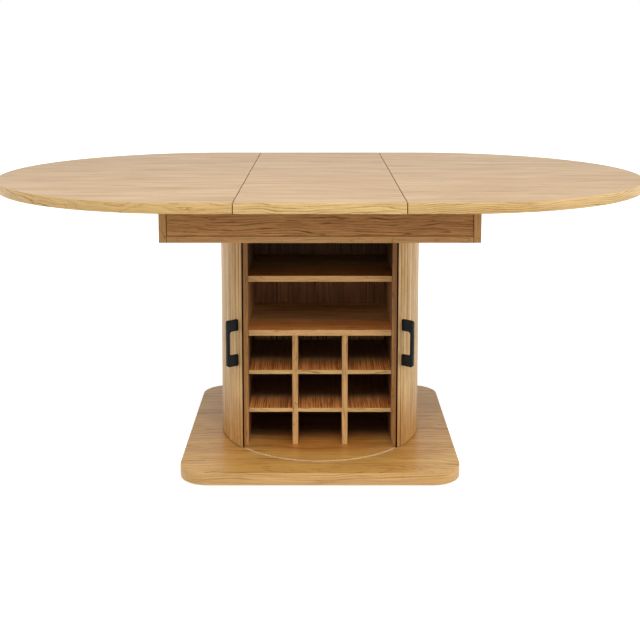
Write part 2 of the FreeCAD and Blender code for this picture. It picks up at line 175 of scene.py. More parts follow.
class DrumTableDoors(bpy.types.PropertyGroup):
    """Sizes of the tambour doors' slats."""

    slats: count("Slats", "Single slats of one door", 41)
    first_angle: angle("First slat", "From the front to the middle of the first slat", 55.953)
    slat_angle: angle("Slat spacing", "Angle from one slat to the next", 3.0603)
    radius: length("Drum radius", "From the drum's axis to the slats' faces", 277.0 * MM)
    width: length("Slat width", "Width of a slat's face", 13.2 * MM)
    thickness: length("Slat thickness", "From a slat's face to its back", 12.0 * MM)
    arris: length("Slat arris", "Radius of a slat's upright edges", 1.3 * MM)
    foot: length("Door foot", "Height of the slats' lower ends", 39.0 * MM)
    head: length("Door head", "Height of the slats' upper ends", 628.0 * MM)
    tongue_width: length("Tongue width", "Width of a slat's tongues", 9.0 * MM)
    tongue_thickness: length("Tongue thickness", "Thickness of a slat's tongues", 3.0 * MM)
    tongue_length: length("Tongue length", "How far a tongue stands out of its slat", 8.0 * MM)
    stile_ribs: count("Stile ribs", "Ribs on a door's leading stile", 2)
    buffer_width: length("Buffer width", "Width of the soft strip on a door's leading edge", 4.8 * MM)
    buffer_height: length("Buffer height", "How far that strip stands out", 0.8 * MM)
    buffer_lap: length("Buffer lap", "How far that strip laps over the door's arris", 0.7 * MM)


class DrumTableScrews(bpy.types.PropertyGroup):
    """Sizes of the pan-head screws and of their places."""

    head_radius: length("Head radius", "Radius of a screw's head", 4.5 * MM)
    head_height: length("Head height", "Height of a screw's head", 2.4 * MM)
    recess_width: length("Recess width", "Width of the cross in a screw's head", 1.2 * MM)
    recess_depth: length("Recess depth", "Depth of the cross in a screw's head", 1.2 * MM)
    end_distance: length("End distance", "From a runner's end to its first screw", 45.0 * MM)
    per_runner: count("Screws in a runner", "Screws up into the top", 4, 2)
    block_leg: length("Block leg", "Length of a corner block's legs", 42.0 * MM)


class DrumTableStudio(bpy.types.PropertyGroup):
    """The stage, its lamps and the camera."""

    overhead: power("Overhead lamp", "Soft light from above", 18)
    front: power("Front lamp", "Soft light from the front", 84)
    left: power("Left lamp", "Soft light from the left", 38)
    right: power("Right lamp", "Soft light from the right", 71)
    fill: amount("Fill", "Level of the light from all round", 0.50)
    front_fill: amount("Front fill", "Level of the light ahead", 0.10)
    back_share: amount("Back share", "Share of the fill from behind", 0.6)
    glow: amount("Floor glow", "Share of white in the floor's look", 0.76)
    floor_size: length("Floor size", "Width of the floor", 40.0)
    camera_back: length("Camera distance", "From the drum's axis to the camera", 2.8800)
    camera_height: length("Camera height", "From the floor to the camera", 1.1056)
    camera_tilt: angle("Camera tilt", "How far the camera looks down", 6.806)
    lens: FloatProperty(name="Lens", description="Focal length in millimetres", default=58.531)
    shift: FloatProperty(name="Shift", description="Shift of the lens, in picture widths", default=-0.23)


class DrumTableSettings(bpy.types.PropertyGroup):
    """All settings of the table."""

    oak: PointerProperty(type=DrumTableOak)
    plain: PointerProperty(type=DrumTablePlain)
    top: PointerProperty(type=DrumTableTop)
    doors: PointerProperty(type=DrumTableDoors)
    screws: PointerProperty(type=DrumTableScrews)
    studio: PointerProperty(type=DrumTableStudio)


# ---------------------------------------------------------------- node trees
class Tree:
    """A node tree with a short way to add nodes and to link them."""

    def __init__(self, tree):
        self.tree = tree

    def feed(self, node, sockets):
        """Gives inputs of a node, by name or by number, a value each or an output to link."""
        for key, value in sockets.items():
            if isinstance(value, bpy.types.NodeSocket):
                self.tree.links.new(value, node.inputs[key])
            else:
                node.inputs[key].default_value = value

    def add(self, kind, sockets=None, **settings):
        """Adds a node and feeds its inputs."""
        node = self.tree.nodes.new(kind)
        for name, value in settings.items():
            setattr(node, name, value)
        self.feed(node, sockets or {})
        return node

    def math(self, operation, *values):
        """An operation on numbers."""
        return self.add("ShaderNodeMath", dict(enumerate(values)), operation=operation).outputs[0]

    def total(self, first, *others):
        """The sum of some numbers."""
        for other in others:
            first = self.math("ADD", first, other)
        return first

    def product(self, first, *others):
        """The product of some numbers."""
        for other in others:
            first = self.math("MULTIPLY", first, other)
        return first

    def minus(self, first, second):
        """The difference of two numbers."""
        return self.math("SUBTRACT", first, second)

    def vector(self, x, y, z):
        """Three numbers as one vector."""
        return self.add("ShaderNodeCombineXYZ", {0: x, 1: y, 2: z}).outputs[0]

    def parts(self, vector):
        """The X, Y and Z of a vector."""
        return self.add("ShaderNodeSeparateXYZ", {0: vector}).outputs

    def noise(self, vector, scale=1.0, detail=2.0, roughness=0.5):
        """Soft noise from 0 to 1."""
        sockets = {"Vector": vector, "Scale": scale, "Detail": detail, "Roughness": roughness}
        return self.add("ShaderNodeTexNoise", sockets).outputs["Fac"]

    def swing(self, vector, detail=2.0, roughness=0.5):
        """Soft noise about zero."""
        return self.minus(self.noise(vector, detail=detail, roughness=roughness), 0.5)

    def stretch(self, along, across, through, slow, fast):
        """A place for a noise whose features are drawn out along the grain."""
        return self.vector(self.product(along, slow), self.product(across, fast), self.product(through, fast))

    def turned(self, source, order, centre):
        """A place seen from a board's middle.

        Order names the axes along the grain, across it and through it.
        """
        moved = self.add("ShaderNodeVectorMath", {0: source, 1: centre}, operation="SUBTRACT").outputs[0]
        parts = self.parts(moved)
        return self.vector(*(parts[axis] for axis in order))

    def mix(self, factor, first, second):
        """A mix of two colours, each a socket or three numbers."""
        ends = [c if isinstance(c, bpy.types.NodeSocket) else (*c, 1) for c in (first, second)]
        sockets = {0: factor, 6: ends[0], 7: ends[1]}
        return self.add("ShaderNodeMix", sockets, data_type="RGBA", clamp_factor=True).outputs[2]

    def times(self, colour, shares):
        """A colour with each of its parts multiplied by a share."""
        return self.add("ShaderNodeVectorMath", {0: colour, 1: shares}, operation="MULTIPLY").outputs[0]

    def ramp(self, value, low, high, start=0.0, end=1.0):
        """Value from low to high as a smooth step from start to end."""
        sockets = {"Value": value, "From Min": low, "From Max": high, "To Min": start, "To Max": end}
        return self.add("ShaderNodeMapRange", sockets, interpolation_type="SMOOTHSTEP").outputs[0]

    def join(self, pieces):
        """Some pieces of geometry as one."""
        node = self.add("GeometryNodeJoinGeometry")
        for piece in pieces:
            self.tree.links.new(piece, node.inputs[0])
        return node.outputs[0]


# ---------------------------------------------------------------- woods and other finishes
CUT_SIZES = (
    "Leaf Width", "Ring Spacing", "Pith Depth", "Taper",
    "Waviness", "Wave Rate", "Streak Width", "Streak Rate",
)
FIGURES = ("Rings", "Flecks", "Streaks", "Clouds", "Fibres")
SURFACE = ("Blush", "Pores")
WOODS = {
    # for each wood: the sizes of its cut, and what each figure adds to or takes from its tone
    "face": ((0.23, 0.007, 0.03, 0.01, 0.03, 2.2, 0.009, 3.0), (-0.8, -0.4, 2.0, 0.5, 0.5)),
    "band": ((0.20, 0.0045, 0.018, 0.02, 0.04, 4.0, 0.004, 8.0), (-1.1, -0.4, 1.3, 0.5, 0.4)),
    "plate": ((0.27, 0.010, 0.04, 0.02, 0.08, 2.6, 0.011, 3.2), (-0.7, -0.3, 1.3, 0.7, 0.4)),
    "rim": ((0.20, 0.005, 0.018, 0.02, 0.03, 4.0, 0.005, 6.0), (-0.6, -0.3, 1.2, 0.6, 0.4)),
    "apron": ((0.20, 0.006, 0.016, 0.02, 0.05, 4.0, 0.004, 12.0), (-0.7, -0.6, 1.6, 0.8, 0.4)),
    "frame": ((0.20, 0.005, 0.03, 0.02, 0.03, 3.0, 0.004, 10.0), (-0.6, -0.4, 1.4, 0.7, 0.4)),
    "board": ((0.30, 0.007, 0.03, 0.02, 0.04, 2.0, 0.006, 6.0), (-0.6, -0.4, 1.6, 0.8, 0.4)),
    "side": ((0.30, 0.007, 0.03, 0.02, 0.04, 2.0, 0.006, 6.0), (-0.5, -0.3, 1.4, 0.8, 0.4)),
    "back": ((0.25, 0.008, 0.03, 0.02, 0.04, 2.0, 0.008, 4.0), (-0.5, -0.4, 1.4, 0.8, 0.4)),
    "edge": ((0.20, 0.004, 0.02, 0.02, 0.03, 5.0, 0.003, 12.0), (-0.8, -0.6, 1.6, 0.8, 0.4)),
    "lip": ((3.0, 0.005, 0.05, 0.01, 0.02, 2.0, 0.003, 4.0), (-0.4, -0.3, 1.2, 1.0, 0.5)),
    "upright": ((0.20, 0.004, 0.02, 0.02, 0.03, 5.0, 0.003, 12.0), (-0.8, -0.6, 1.6, 0.8, 0.4)),
    "rack": ((0.30, 0.006, 0.03, 0.01, 0.015, 2.0, 0.004, 5.0), (-0.9, -0.8, 3.0, 1.0, 0.4)),
    "slat": ((3.0, 0.005, 0.05, 0.01, 0.02, 2.0, 0.003, 4.0), (-0.5, -0.4, 1.6, 1.4, 0.5)),
    "beech": ((0.30, 0.006, 0.06, 0.01, 0.03, 2.0, 0.006, 8.0), (-0.15, -0.1, 0.6, 0.5, 0.6)),
}

CUT_STEP = 17.3  # keeps the leaves of two boards apart in the noise
CUT_RUN = 7.0  # metres along the log from one cut to the next
GLOSS = (0.46, 0.38)  # roughness of dark and of light grain
SLAT_GLOSS = (0.40, 0.32)
PLATE_GLOSS = (0.36, 0.28)
SHINE, DOOR_SHINE = 0.25, 0.18  # how much the lacquer reflects
FRONT_BAND = 1 * MM  # depth of the veneer on a board's front edge
CUT_SPREAD = 9.0  # range of the cuts of a door's slats
CLOUD_SPECKS = 25  # specks of grit across one cloud
WARP_RATE, WEFT_RATE = 1100.0, 4000.0  # waves of the weave, to the radian about the drum and to the metre


def grain_group():
    """The figure of sawn wood. Vector is in metres, with its X along the grain and its Z out of the face."""
    name = "wood grain"
    if name in bpy.data.node_groups:
        return bpy.data.node_groups[name]
    group = bpy.data.node_groups.new(name, "ShaderNodeTree")
    group.interface.new_socket("Vector", in_out="INPUT", socket_type="NodeSocketVector")
    for label in ("Cut",) + CUT_SIZES:
        group.interface.new_socket(label, in_out="INPUT", socket_type="NodeSocketFloat")
    for label in FIGURES + SURFACE:
        group.interface.new_socket(label, in_out="OUTPUT", socket_type="NodeSocketFloat")
    t = Tree(group)
    given = t.add("NodeGroupInput").outputs
    x, y, z = t.parts(given["Vector"])

    # Veneer is laid in leaves side by side, each cut at a place of its own, and a board is one leaf.
    leaf = t.math("ROUND", t.math("DIVIDE", y, given["Leaf Width"]))
    which = t.total(leaf, t.product(given["Cut"], CUT_STEP))
    chance = t.add("ShaderNodeTexWhiteNoise", {"W": which}, noise_dimensions="1D").outputs["Color"]
    chances = t.add("ShaderNodeSeparateColor", {0: chance}).outputs
    along = t.total(x, t.product(t.total(chances["Red"], given["Cut"]), CUT_RUN))
    place = t.total(leaf, t.product(t.minus(chances["Green"], 0.5), 0.5))
    across = t.minus(y, t.product(place, given["Leaf Width"]))

    # Growth rings about a wavering pith under the face. Each draws a line of the same width on the face.
    rate = given["Wave Rate"]
    waver = t.swing(t.stretch(along, y, z, rate, 4.0))
    drift = t.swing(t.stretch(along, z, y, t.product(rate, 0.7), 3.0), detail=1.0)
    ripple = t.product(t.swing(t.stretch(along, y, z, 16.0, 90.0)), 0.08)
    side = t.total(across, t.product(t.total(waver, ripple), given["Waviness"]))
    sway = t.product(t.total(drift, ripple), given["Waviness"])
    depth = t.total(z, given["Pith Depth"], t.product(sway, 2.0), t.product(x, given["Taper"]))
    radius = t.math("SQRT", t.total(t.product(side, side), t.product(depth, depth)))
    years = t.math("DIVIDE", radius, given["Ring Spacing"])
    phase = t.math("FRACT", years)
    steep = t.math("DIVIDE", t.math("ABSOLUTE", side), t.total(radius, 0.0001))
    peak = t.total(0.04, t.product(steep, 0.10))
    end = t.total(0.10, t.product(steep, 0.55))
    line = t.product(t.ramp(phase, 0.0, peak), t.ramp(phase, peak, end, 1.0, 0.0))
    turn = t.total(t.math("FLOOR", years), which)
    year = t.add("ShaderNodeTexWhiteNoise", {"W": turn}, noise_dimensions="1D").outputs["Value"]
    fade = t.ramp(t.noise(t.stretch(along, y, z, 6.0, 16.0)), 0.35, 0.65, 0.2, 1.0)
    rings = t.product(line, t.total(t.product(year, 0.7), 0.3), fade)

    # Streaks, dark flecks, clouds, fibres and pores are all drawn out along the grain.
    narrow = t.math("DIVIDE", 1.0, given["Streak Width"])
    long = given["Streak Rate"]
    finer = t.stretch(along, side, z, t.product(long, 1.7), t.product(narrow, 0.8))
    pores = t.ramp(t.noise(t.stretch(x, y, z, 90.0, 1500.0), detail=0.0), 0.60, 0.72)
    figures = {
        "Rings": rings,
        "Flecks": t.ramp(t.noise(finer, detail=3.0), 0.55, 0.72),
        "Streaks": t.swing(t.stretch(along, side, z, long, narrow), detail=5.0, roughness=0.62),
        "Clouds": t.swing(t.stretch(along, y, z, 2.0, 9.0)),
        "Fibres": t.swing(t.stretch(x, y, z, 30.0, 800.0)),
        "Blush": t.ramp(t.noise(t.stretch(along, z, y, 2.5, 14.0)), 0.35, 0.65),
        "Pores": t.product(pores, t.total(0.35, t.product(rings, 0.65))),
    }
    t.add("NodeGroupOutput", figures)
    return group


def oak_colour(t, oak, kind, vector, cut):
    """The colour and the tone of one wood, and all its figures."""
    sizes, weights = WOODS[kind]
    grain = t.add("ShaderNodeGroup", node_tree=grain_group())
    t.feed(grain, {"Vector": vector, "Cut": cut, **dict(zip(CUT_SIZES, sizes))})
    figures = grain.outputs
    tone = t.total(0.7, *(t.product(figures[label], weight) for label, weight in zip(FIGURES, weights)))
    light, dark = (getattr(oak, f"{kind}_{end}") for end in ("light", "dark"))
    rosy = tuple(c * part for c, part in zip(light, (1.0, 0.965, 0.95)))
    blushed = t.mix(figures["Blush"], light, rosy)
    stain = tuple(c * 0.45 for c in dark)
    return t.mix(t.product(figures["Pores"], 0.45), t.mix(tone, dark, blushed), stain), tone, figures


def surface(name):
    """A new material, the tree of its nodes and its shader."""
    material = bpy.data.materials.new(name)
    material.use_nodes = True
    t = Tree(material.node_tree)
    return material, t, t.tree.nodes["Principled BSDF"]


def bumps(t, height, strength, distance):
    """The way that a face looks where small heights turn it."""
    return t.add("ShaderNodeBump", {"Height": height, "Strength": strength, "Distance": distance}).outputs[0]


def wood(
    settings, kind, name, source, cut=0.0, front=None, painted_shade_levels=(), tint=None, gloss=GLOSS, shine=SHINE
):
    """A lacquered wood.

    Source gives the place in the grain from the material's tree, and cut sets the boards apart. Painted shade
    levels are heights, each with the share of the colour that stays above it, which paints shade and light by
    height. Tint changes the colour after that. Front gives the end of a board's front edge band along Y, its
    kind of wood, the place in its grain and its tint. Gloss is the roughness of dark and of light grain, and
    shine is how much the lacquer reflects.
    """
    material, t, shader = surface(f"{kind} {name}")
    if not isinstance(cut, float):
        cut = cut(t)
    final, tone, figures = oak_colour(t, settings.oak, kind, source(t), cut)
    if painted_shade_levels and not front:
        final = painted_shade_by_height(t, final, painted_shade_levels)
    if tint:
        final = tint(t, final)
    if front:
        end, band_kind, band_source, band_tint = front
        band, _, _ = oak_colour(t, settings.oak, band_kind, band_source(t), cut)
        if band_tint:
            band = band_tint(t, band)
        behind = t.math("GREATER_THAN", t.parts(object_place(t))["Y"], end)
        final = t.mix(behind, band, painted_shade_by_height(t, final, painted_shade_levels))
    height = t.minus(t.product(figures["Fibres"], 0.5), figures["Pores"])
    height = t.minus(height, t.product(figures["Rings"], 0.3))
    t.feed(shader, {
        "Base Color": final,
        "Roughness": t.ramp(tone, 0.2, 1.0, *gloss),
        "Specular IOR Level": shine,
        "Normal": bumps(t, height, 0.25, 0.2 * MM),
    })
    return material


# Shares of its red, green and blue that a finish keeps at some places.
BAND_SHARES = {"leaf": (1.06, 1.08, 1.12), "left_half_top": (0.98, 0.96, 0.93)}
# painted light that brightens the shelves' front edges, and painted shade that deepens and reddens the side
# panels' front edges beside the doors
FRONT_PAINTED_LIGHT_AND_SHADE = {"shelf": (1.18, 1.07, 1.09), "panel": (1.03, 0.93, 0.84)}
# dark joint lines at boards' ends, which also paint the shade in the joints
JOINT_AND_SHADE_SHARES = (0.22, 0.16, 0.10)
# painted shade from the top's overhang: the apron boards darken towards their top
APRON_PAINTED_SHADE = (0.80, 0.78, 0.76)
APRON_SHADE = (4 * MM, 24 * MM)  # heights over an apron board's foot between which its tone deepens
# painted light that lifts and cools the back panel behind the rack
LOW_BACK_PAINTED_LIGHT = (1.15, 1.6, 1.9)
# painted reflection of the white surroundings on the floor plate's sides, and painted shade, redder and
# darker, inside the drum
PLATE_PAINTED_SHEEN = (1.08, 1.19, 1.28)
PLATE_PAINTED_SHADE = (0.87, 0.66, 0.50)
# Painted light and shade: shares of its whole colour that a board keeps at the rack, over it and over the
# upper shelf, paler in the lower compartments and darker in the upper one, which the apron and the top shade.
INSIDE_PAINTED_SHADE = (1.05, 1.45, 0.5)
BACK_PANEL_PAINTED_SHADE = (2.6, 1.3, 0.5)
SHADES = {
    # painted shade and light: an axis, where a change of tone starts and is full, the shares kept there, and
    # the share and card of an even colour that hides the figure there, where the shade is deepest
    # painted shade, with a painted warm reflection of the floor plate, down the doors' lower half and at
    # their foot
    "door foot": ("Z", 0.45, 0.20, (0.93, 0.91, 0.89)),
    "door end": ("Z", 0.21, 0.11, (0.80, 0.68, 0.52)),
    # painted shade on the floor plate deep inside the cabinet
    "plate back": ("Y", -0.125, -0.055, (0.50, 0.60, 1.10)),
    # painted shade deep in the rack's cells, with an even card that hides the figure where they lie in full
    # shade
    "rack": ("Y", -0.10, -0.03, (0.70, 0.95, 1.40), 0.85, (150, 120, 88)),
    # painted light that cools the shelves' colour towards the back, in place of the light that bounces there
    "board": ("Y", -0.10, 0.0, (0.90, 1.38, 2.3)),
}
PLAIN_SURFACES = {
    # for each plain finish: its material, its roughness and what else it needs
    "seam": ("seam shade", 0.8, {"grit": 900, "gloss": 0.0}),
    "joint": ("apron joint", 0.8, {"grit": 900, "gloss": 0.0}),
    "track": ("track plastic", 0.5, {"grit": 300, "gloss": 0.2}),
    "slot": ("track slot", 0.7, {"grit": 300, "gloss": 0.1}),
    "felt": ("pad felt", 0.95, {"grit": 1500, "depth": 0.6 * MM, "mottle": 0.4}),
    "bolt": ("zinc plate", 0.35, {"grit": 900, "metallic": 1.0}),
    "coat": ("black powder coat", 0.55, {"grit": 1400, "depth": 0.3 * MM, "mottle": 0.25, "gloss": 0.15}),
    "rubber": ("dark rubber", 0.8, {"grit": 900, "gloss": 0.05}),
    "glide": ("glide strip", 0.6, {"grit": 800}),
    "steel": ("drawn steel", 0.34, {"grit": 900, "metallic": 1.0, "stretch": (0.03, 1, 1)}),
    "nylon": ("nylon", 0.45, {"grit": 250, "mottle": 0.05}),
    "screw": ("yellow zinc", 0.32, {"grit": 900, "metallic": 1.0}),
}


def painted_shade_by_height(t, colour, painted_shade_levels):
    """Painted shade and light: a colour made deeper or paler above each of some heights, as the compartments
    lie in more or less shade.
    """
    if not painted_shade_levels:
        return colour
    height = t.parts(object_place(t))["Z"]
    share, last = 1.0, 1.0
    for start, level in painted_shade_levels:
        above = t.math("GREATER_THAN", height, start)
        share = t.total(share, t.product(above, level - last))
        last = level
    return t.add("ShaderNodeVectorMath", {0: colour, "Scale": share}, operation="SCALE").outputs[0]


def painted_light_and_shade(axis, start, end, shares, plain_share=0.0, card=(0, 0, 0)):
    """Gives painted shade, and where a share is above one painted light: a tint that grows from start to end
    along an axis, up to a share of each colour.

    Plain share tells how much of the figure is lost there to an even colour, painted where the shade is full.
    """

    def tint(t, colour):
        place = t.parts(object_place(t))[axis]
        grown = t.ramp(place, start, end) if start < end else t.ramp(place, end, start, 1.0, 0.0)
        return t.mix(grown, colour, t.mix(plain_share, t.times(colour, shares), paint(*card)))

    return tint


def scaled(shares):
    """Gives a tint with each part of the colour multiplied by its share."""
    return lambda t, colour: t.times(colour, shares)


def end_lines(reach, width):
    """Gives a tint with a dark line at each end of a board, as far out as reach along X: a dark joint with
    painted shade in it.
    """

    def tint(t, colour):
        out = t.math("ABSOLUTE", t.parts(object_place(t))["X"])
        return t.mix(t.math("GREATER_THAN", out, reach - width), colour, t.times(colour, JOINT_AND_SHADE_SHARES))

    return tint


def both_tints(first, second):
    """Gives one tint after another."""
    return lambda t, colour: second(t, first(t, colour))


def shaded_floor(radius):
    """Gives a tint for the floor plate: a painted reflection makes it paler at both sides, and painted shade
    makes it redder and darker inside the drum.
    """
    back = painted_light_and_shade(*SHADES["plate back"])

    def tint(t, colour):
        place = object_place(t)
        far = t.add("ShaderNodeVectorMath", {0: place}, operation="LENGTH").outputs["Value"]
        out = t.math("ABSOLUTE", t.parts(place)["X"])
        # painted reflection that pales the plate beside the drum
        pale = t.mix(t.ramp(out, 0.8 * radius, 1.3 * radius), colour, t.times(colour, PLATE_PAINTED_SHEEN))
        # painted shade inside the drum, deepest towards the back
        inside = t.ramp(far, radius, 0.6 * radius, 0.0, 1.0)
        return t.mix(inside, pale, back(t, t.times(colour, PLATE_PAINTED_SHADE)))

    return tint


def object_place(t):
    """The place in the object's own axes."""
    return t.add("ShaderNodeTexCoord").outputs["Object"]


def map_place(t):
    """The place that a board's own map gives."""
    return t.add("ShaderNodeUVMap", uv_map="grain").outputs[0]


def drum_place(radius):
    """Gives a source that runs up the drum, round it and out of it."""

    def source(t):
        x, y, z = t.parts(object_place(t))
        turn = t.math("ARCTAN2", y, x)
        flat = t.total(t.math("POWER", x, 2.0), t.math("POWER", y, 2.0))
        return t.vector(z, t.product(turn, radius), t.minus(t.math("SQRT", flat), radius))

    return source


def slat_cut(t):
    """The number that sets one slat apart from the others."""
    return t.add("ShaderNodeAttribute", attribute_name="slat").outputs["Fac"]


def board_place(node, order):
    """Gives a source from the middle of a board. Order names the axes along the grain, across and through."""
    low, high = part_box(node)
    middle = tuple((a + b) / 2 for a, b in zip(low, high))
    return lambda t: t.turned(object_place(t), order, middle)


def plain(settings, kind):
    """A plain finish with its own small variation of tone, gloss and height."""
    name, roughness, others = PLAIN_SURFACES[kind]
    return grainy(name, getattr(settings.plain, kind), roughness, **others)


def grainy(
    name, base, roughness, grit, metallic=0.0, stretch=(1, 1, 1), depth=0.2 * MM, mottle=0.15, gloss=0.5
):
    """A finish with grit specks to the metre, and clouds of them. Mottle tells how far its tone strays."""
    material, t, shader = surface(name)
    stretched = t.add("ShaderNodeMapping", {"Vector": object_place(t), "Scale": stretch}).outputs[0]
    speckle = t.noise(stretched, scale=grit, detail=3.0)
    cloud = t.noise(stretched, scale=grit / CLOUD_SPECKS)
    tone = t.total(t.product(speckle, 0.5), t.product(cloud, 0.5))
    light = tuple(min(1.0, c * (1 + mottle)) for c in base)
    dark = tuple(c * (1 - mottle) for c in base)
    t.feed(shader, {
        "Base Color": t.mix(tone, dark, light),
        "Roughness": t.ramp(tone, 0.3, 0.7, roughness + 0.06, roughness - 0.06),
        "Metallic": metallic,
        "Specular IOR Level": gloss,
        "Normal": bumps(t, speckle, 0.4, depth),
    })
    return material


def cloth(name, base):
    """Plain-woven cloth that stands upright about the drum's axis."""
    material, t, shader = surface(name)
    x, y, z = t.parts(object_place(t))
    warp = t.math("SINE", t.product(t.math("ARCTAN2", y, x), WARP_RATE))
    weft = t.math("SINE", t.product(z, WEFT_RATE))
    weave = t.total(t.product(warp, weft, 0.5), 0.5)
    dark, light = tuple(c * 0.7 for c in base), tuple(min(1.0, c * 1.2) for c in base)
    t.feed(shader, {
        "Base Color": t.mix(weave, dark, light),
        "Roughness": 0.95,
        "Sheen Weight": 0.25,
        "Normal": bumps(t, weave, 0.5, 0.3 * MM),
    })
    return material


def finish_node(name, material):
    """Gives a CAD node its material."""
    slots = frame["nodes"][name].data.materials
    slots.clear()
    slots.append(material)


# ---------------------------------------------------------------- boards with banded edges
SHARP = math.radians(40)  # an edge that turns by more than this is rounded
FLAT = math.radians(1)  # faces that turn by less than this are one
SAME = 0.02  # points closer than this share of the rounding are one
SHORT = 8  # edges shorter than this many roundings stay as they are
FACING, TOWARDS = 0.9, 0.5  # cosines from which a face counts as facing a way, or as turned towards it


def bent_outline(arcs, inset):
    """Points of a convex outline of arcs joined by straight edges, anticlockwise and inset."""
    points = []
    for (x, y), radius, start, end, steps in arcs:
        for i in range(steps + 1):
            turn = math.radians(start + (end - start) * i / steps)
            points.append((x + (radius - inset) * math.cos(turn), y + (radius - inset) * math.sin(turn)))
    return points


def corner_arcs(low, high, radius, steps):
    """The four corners of a rounded rectangle."""
    x0, x1, y0, y1 = low.x + radius, high.x - radius, low.y + radius, high.y - radius
    corners = (((x0, y0), 180), ((x1, y0), 270), ((x1, y1), 0), ((x0, y1), 90))
    return [(centre, radius, start, start + 90, steps) for centre, start in corners]


def half_arcs(low, high, corner, corner_steps, end_steps):
    """The outline of the right half of the top: two seam corners and the round end."""
    radius = (high.y - low.y) / 2
    x = low.x + corner
    return [
        ((x, low.y + corner), corner, 180, 270, corner_steps),
        ((high.x - radius, 0), radius, -90, 90, end_steps),
        ((x, high.y - corner), corner, 90, 180, corner_steps),
    ]


def edge_profile(z0, z1, arris, steps):
    """Inset and height of each ring of a board's edge, from its underside to its face."""
    quarter = [math.pi / 2 * i / steps for i in range(steps + 1)]
    lower = [(arris * (1 - math.sin(a)), z0 + arris * (1 - math.cos(a))) for a in quarter]
    upper = [(arris * (1 - math.cos(a)), z1 - arris * (1 - math.sin(a))) for a in quarter]
    return lower + upper


def flat_map(face, grain):
    """Maps a level face as it lies."""
    for loop in face.loops:
        loop[grain].uv = loop.vert.co.xy


def edged_board(bm, grain, arcs, profile, mirror=False, seams=(), corner=0.0):
    """Adds a board's edge and underside, and gives back the ring of vertices around its face.

    Material 0 is the face, 1 the edge and 2 the dark line down a seam. Seams has the seams' places along X,
    and corner is the radius of the board's corners there.
    """
    rings = []
    for inset, z in profile:
        points = bent_outline(arcs, inset)
        if mirror:
            points = [(-x, y) for x, y in reversed(points)]
        rings.append([bm.verts.new((x, y, z)) for x, y in points])
    outline = [v.co.xy.copy() for v in rings[len(rings) // 2]]
    sides = len(outline)
    middle = (profile[0][1] + profile[-1][1]) / 2
    run = 0.0
    for i in range(sides):
        j = (i + 1) % sides
        side = outline[j] - outline[i]
        halfway = (outline[i] + outline[j]) / 2
        at_seam = any(abs(halfway.x - x) < corner for x in seams)
        at_corner = side.length < corner
        for k, ((low_inset, low), (high_inset, high)) in enumerate(zip(profile, profile[1:])):
            face = bm.faces.new((rings[k][i], rings[k][j], rings[k + 1][j], rings[k + 1][i]))
            face.smooth = True
            face.material_index = 1
            wall = low_inset == high_inset
            if at_seam and (at_corner or not wall):
                face.material_index = 2
            starts = (run, run + side.length, run + side.length, run)
            heights = (low, low, high, high)
            insets = (low_inset, low_inset, high_inset, high_inset)
            for loop, u, z, inset in zip(face.loops, starts, heights, insets):
                loop[grain].uv = (u, z - middle + (inset if z > middle else -inset))
        run += side.length
    flat_map(bm.faces.new(list(reversed(rings[0]))), grain)
    return rings[-1]


def piece_from(bm, name, node, materials):
    """Makes a mesh from bm into a piece that stands for a CAD node and rides on its body."""
    mesh = bpy.data.meshes.new(name)
    bm.to_mesh(mesh)
    bm.free()
    piece = bpy.data.objects.new(name, mesh)
    for material in materials:
        mesh.materials.append(material)
    bpy.context.scene.collection.objects.link(piece)
    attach(piece, BODY_OF[node])
    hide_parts(node)
    return piece


def eased_board(node, materials, arris, pick=None):
    """Makes a copy of a board with rounded edges, which stands for the board.

    Pick tells whether a face gets the second material. Without it, the rounded edges get it.
    """
    bm = bmesh.new()
    bm.from_mesh(frame["nodes"][node].data)
    bmesh.ops.remove_doubles(bm, verts=bm.verts, dist=arris * SAME)
    bmesh.ops.dissolve_limit(bm, angle_limit=FLAT, verts=bm.verts, edges=bm.edges)
    edges = [e for e in bm.edges if len(e.link_faces) == 2 and e.calc_length() > SHORT * arris]
    sharp = [e for e in edges if e.calc_face_angle() > SHARP]
    rounded = bmesh.ops.bevel(
        bm, geom=sharp, offset=arris, segments=2, profile=0.5, affect="EDGES", clamp_overlap=True
    )
    for face in rounded["faces"]:
        face.smooth = True
    if pick:
        for face in bm.faces:
            face.material_index = int(pick(face))
    elif len(materials) > 1:
        for face in rounded["faces"]:
            face.material_index = 1
    return piece_from(bm, f"{node}_board", node, materials)


class DRUMTABLE_OT_top(bpy.types.Operator):
    """Models the two halves and the leaf, with eased edges and a band of veneer around them"""

    bl_idname = "drumtable.top"
    bl_label = "Table top"

    def execute(self, context):
        settings = context.scene.drum_table
        sizes = settings.top
        gap = plain(settings, "seam")
        for place, node in enumerate(("right_half_top", "left_half_top", "leaf"), 1):
            low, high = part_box(node)
            mirror = node.startswith("left")
            seams = (low.x, high.x) if node == "leaf" else (high.x if mirror else low.x,)
            if mirror:
                low.x, high.x = -high.x, -low.x
            if node == "leaf":
                arcs = corner_arcs(low, high, sizes.corner, sizes.arris_steps)
            else:
                arcs = half_arcs(low, high, sizes.corner, sizes.arris_steps, sizes.end_steps)
            bm = bmesh.new()
            grain = bm.loops.layers.uv.new("grain")
            profile = edge_profile(low.z, high.z, sizes.arris, sizes.arris_steps)
            rim = edged_board(bm, grain, arcs, profile, mirror, seams, sizes.corner)
            flat_map(bm.faces.new(rim), grain)
            tint = scaled(BAND_SHARES[node]) if node in BAND_SHARES else None
            face = wood(settings, "face", node, map_place, cut=float(place))
            band = wood(settings, "band", node, map_place, cut=float(place), tint=tint)
            piece_from(bm, f"{node}_board", node, (face, band, gap))
        return {"FINISHED"}


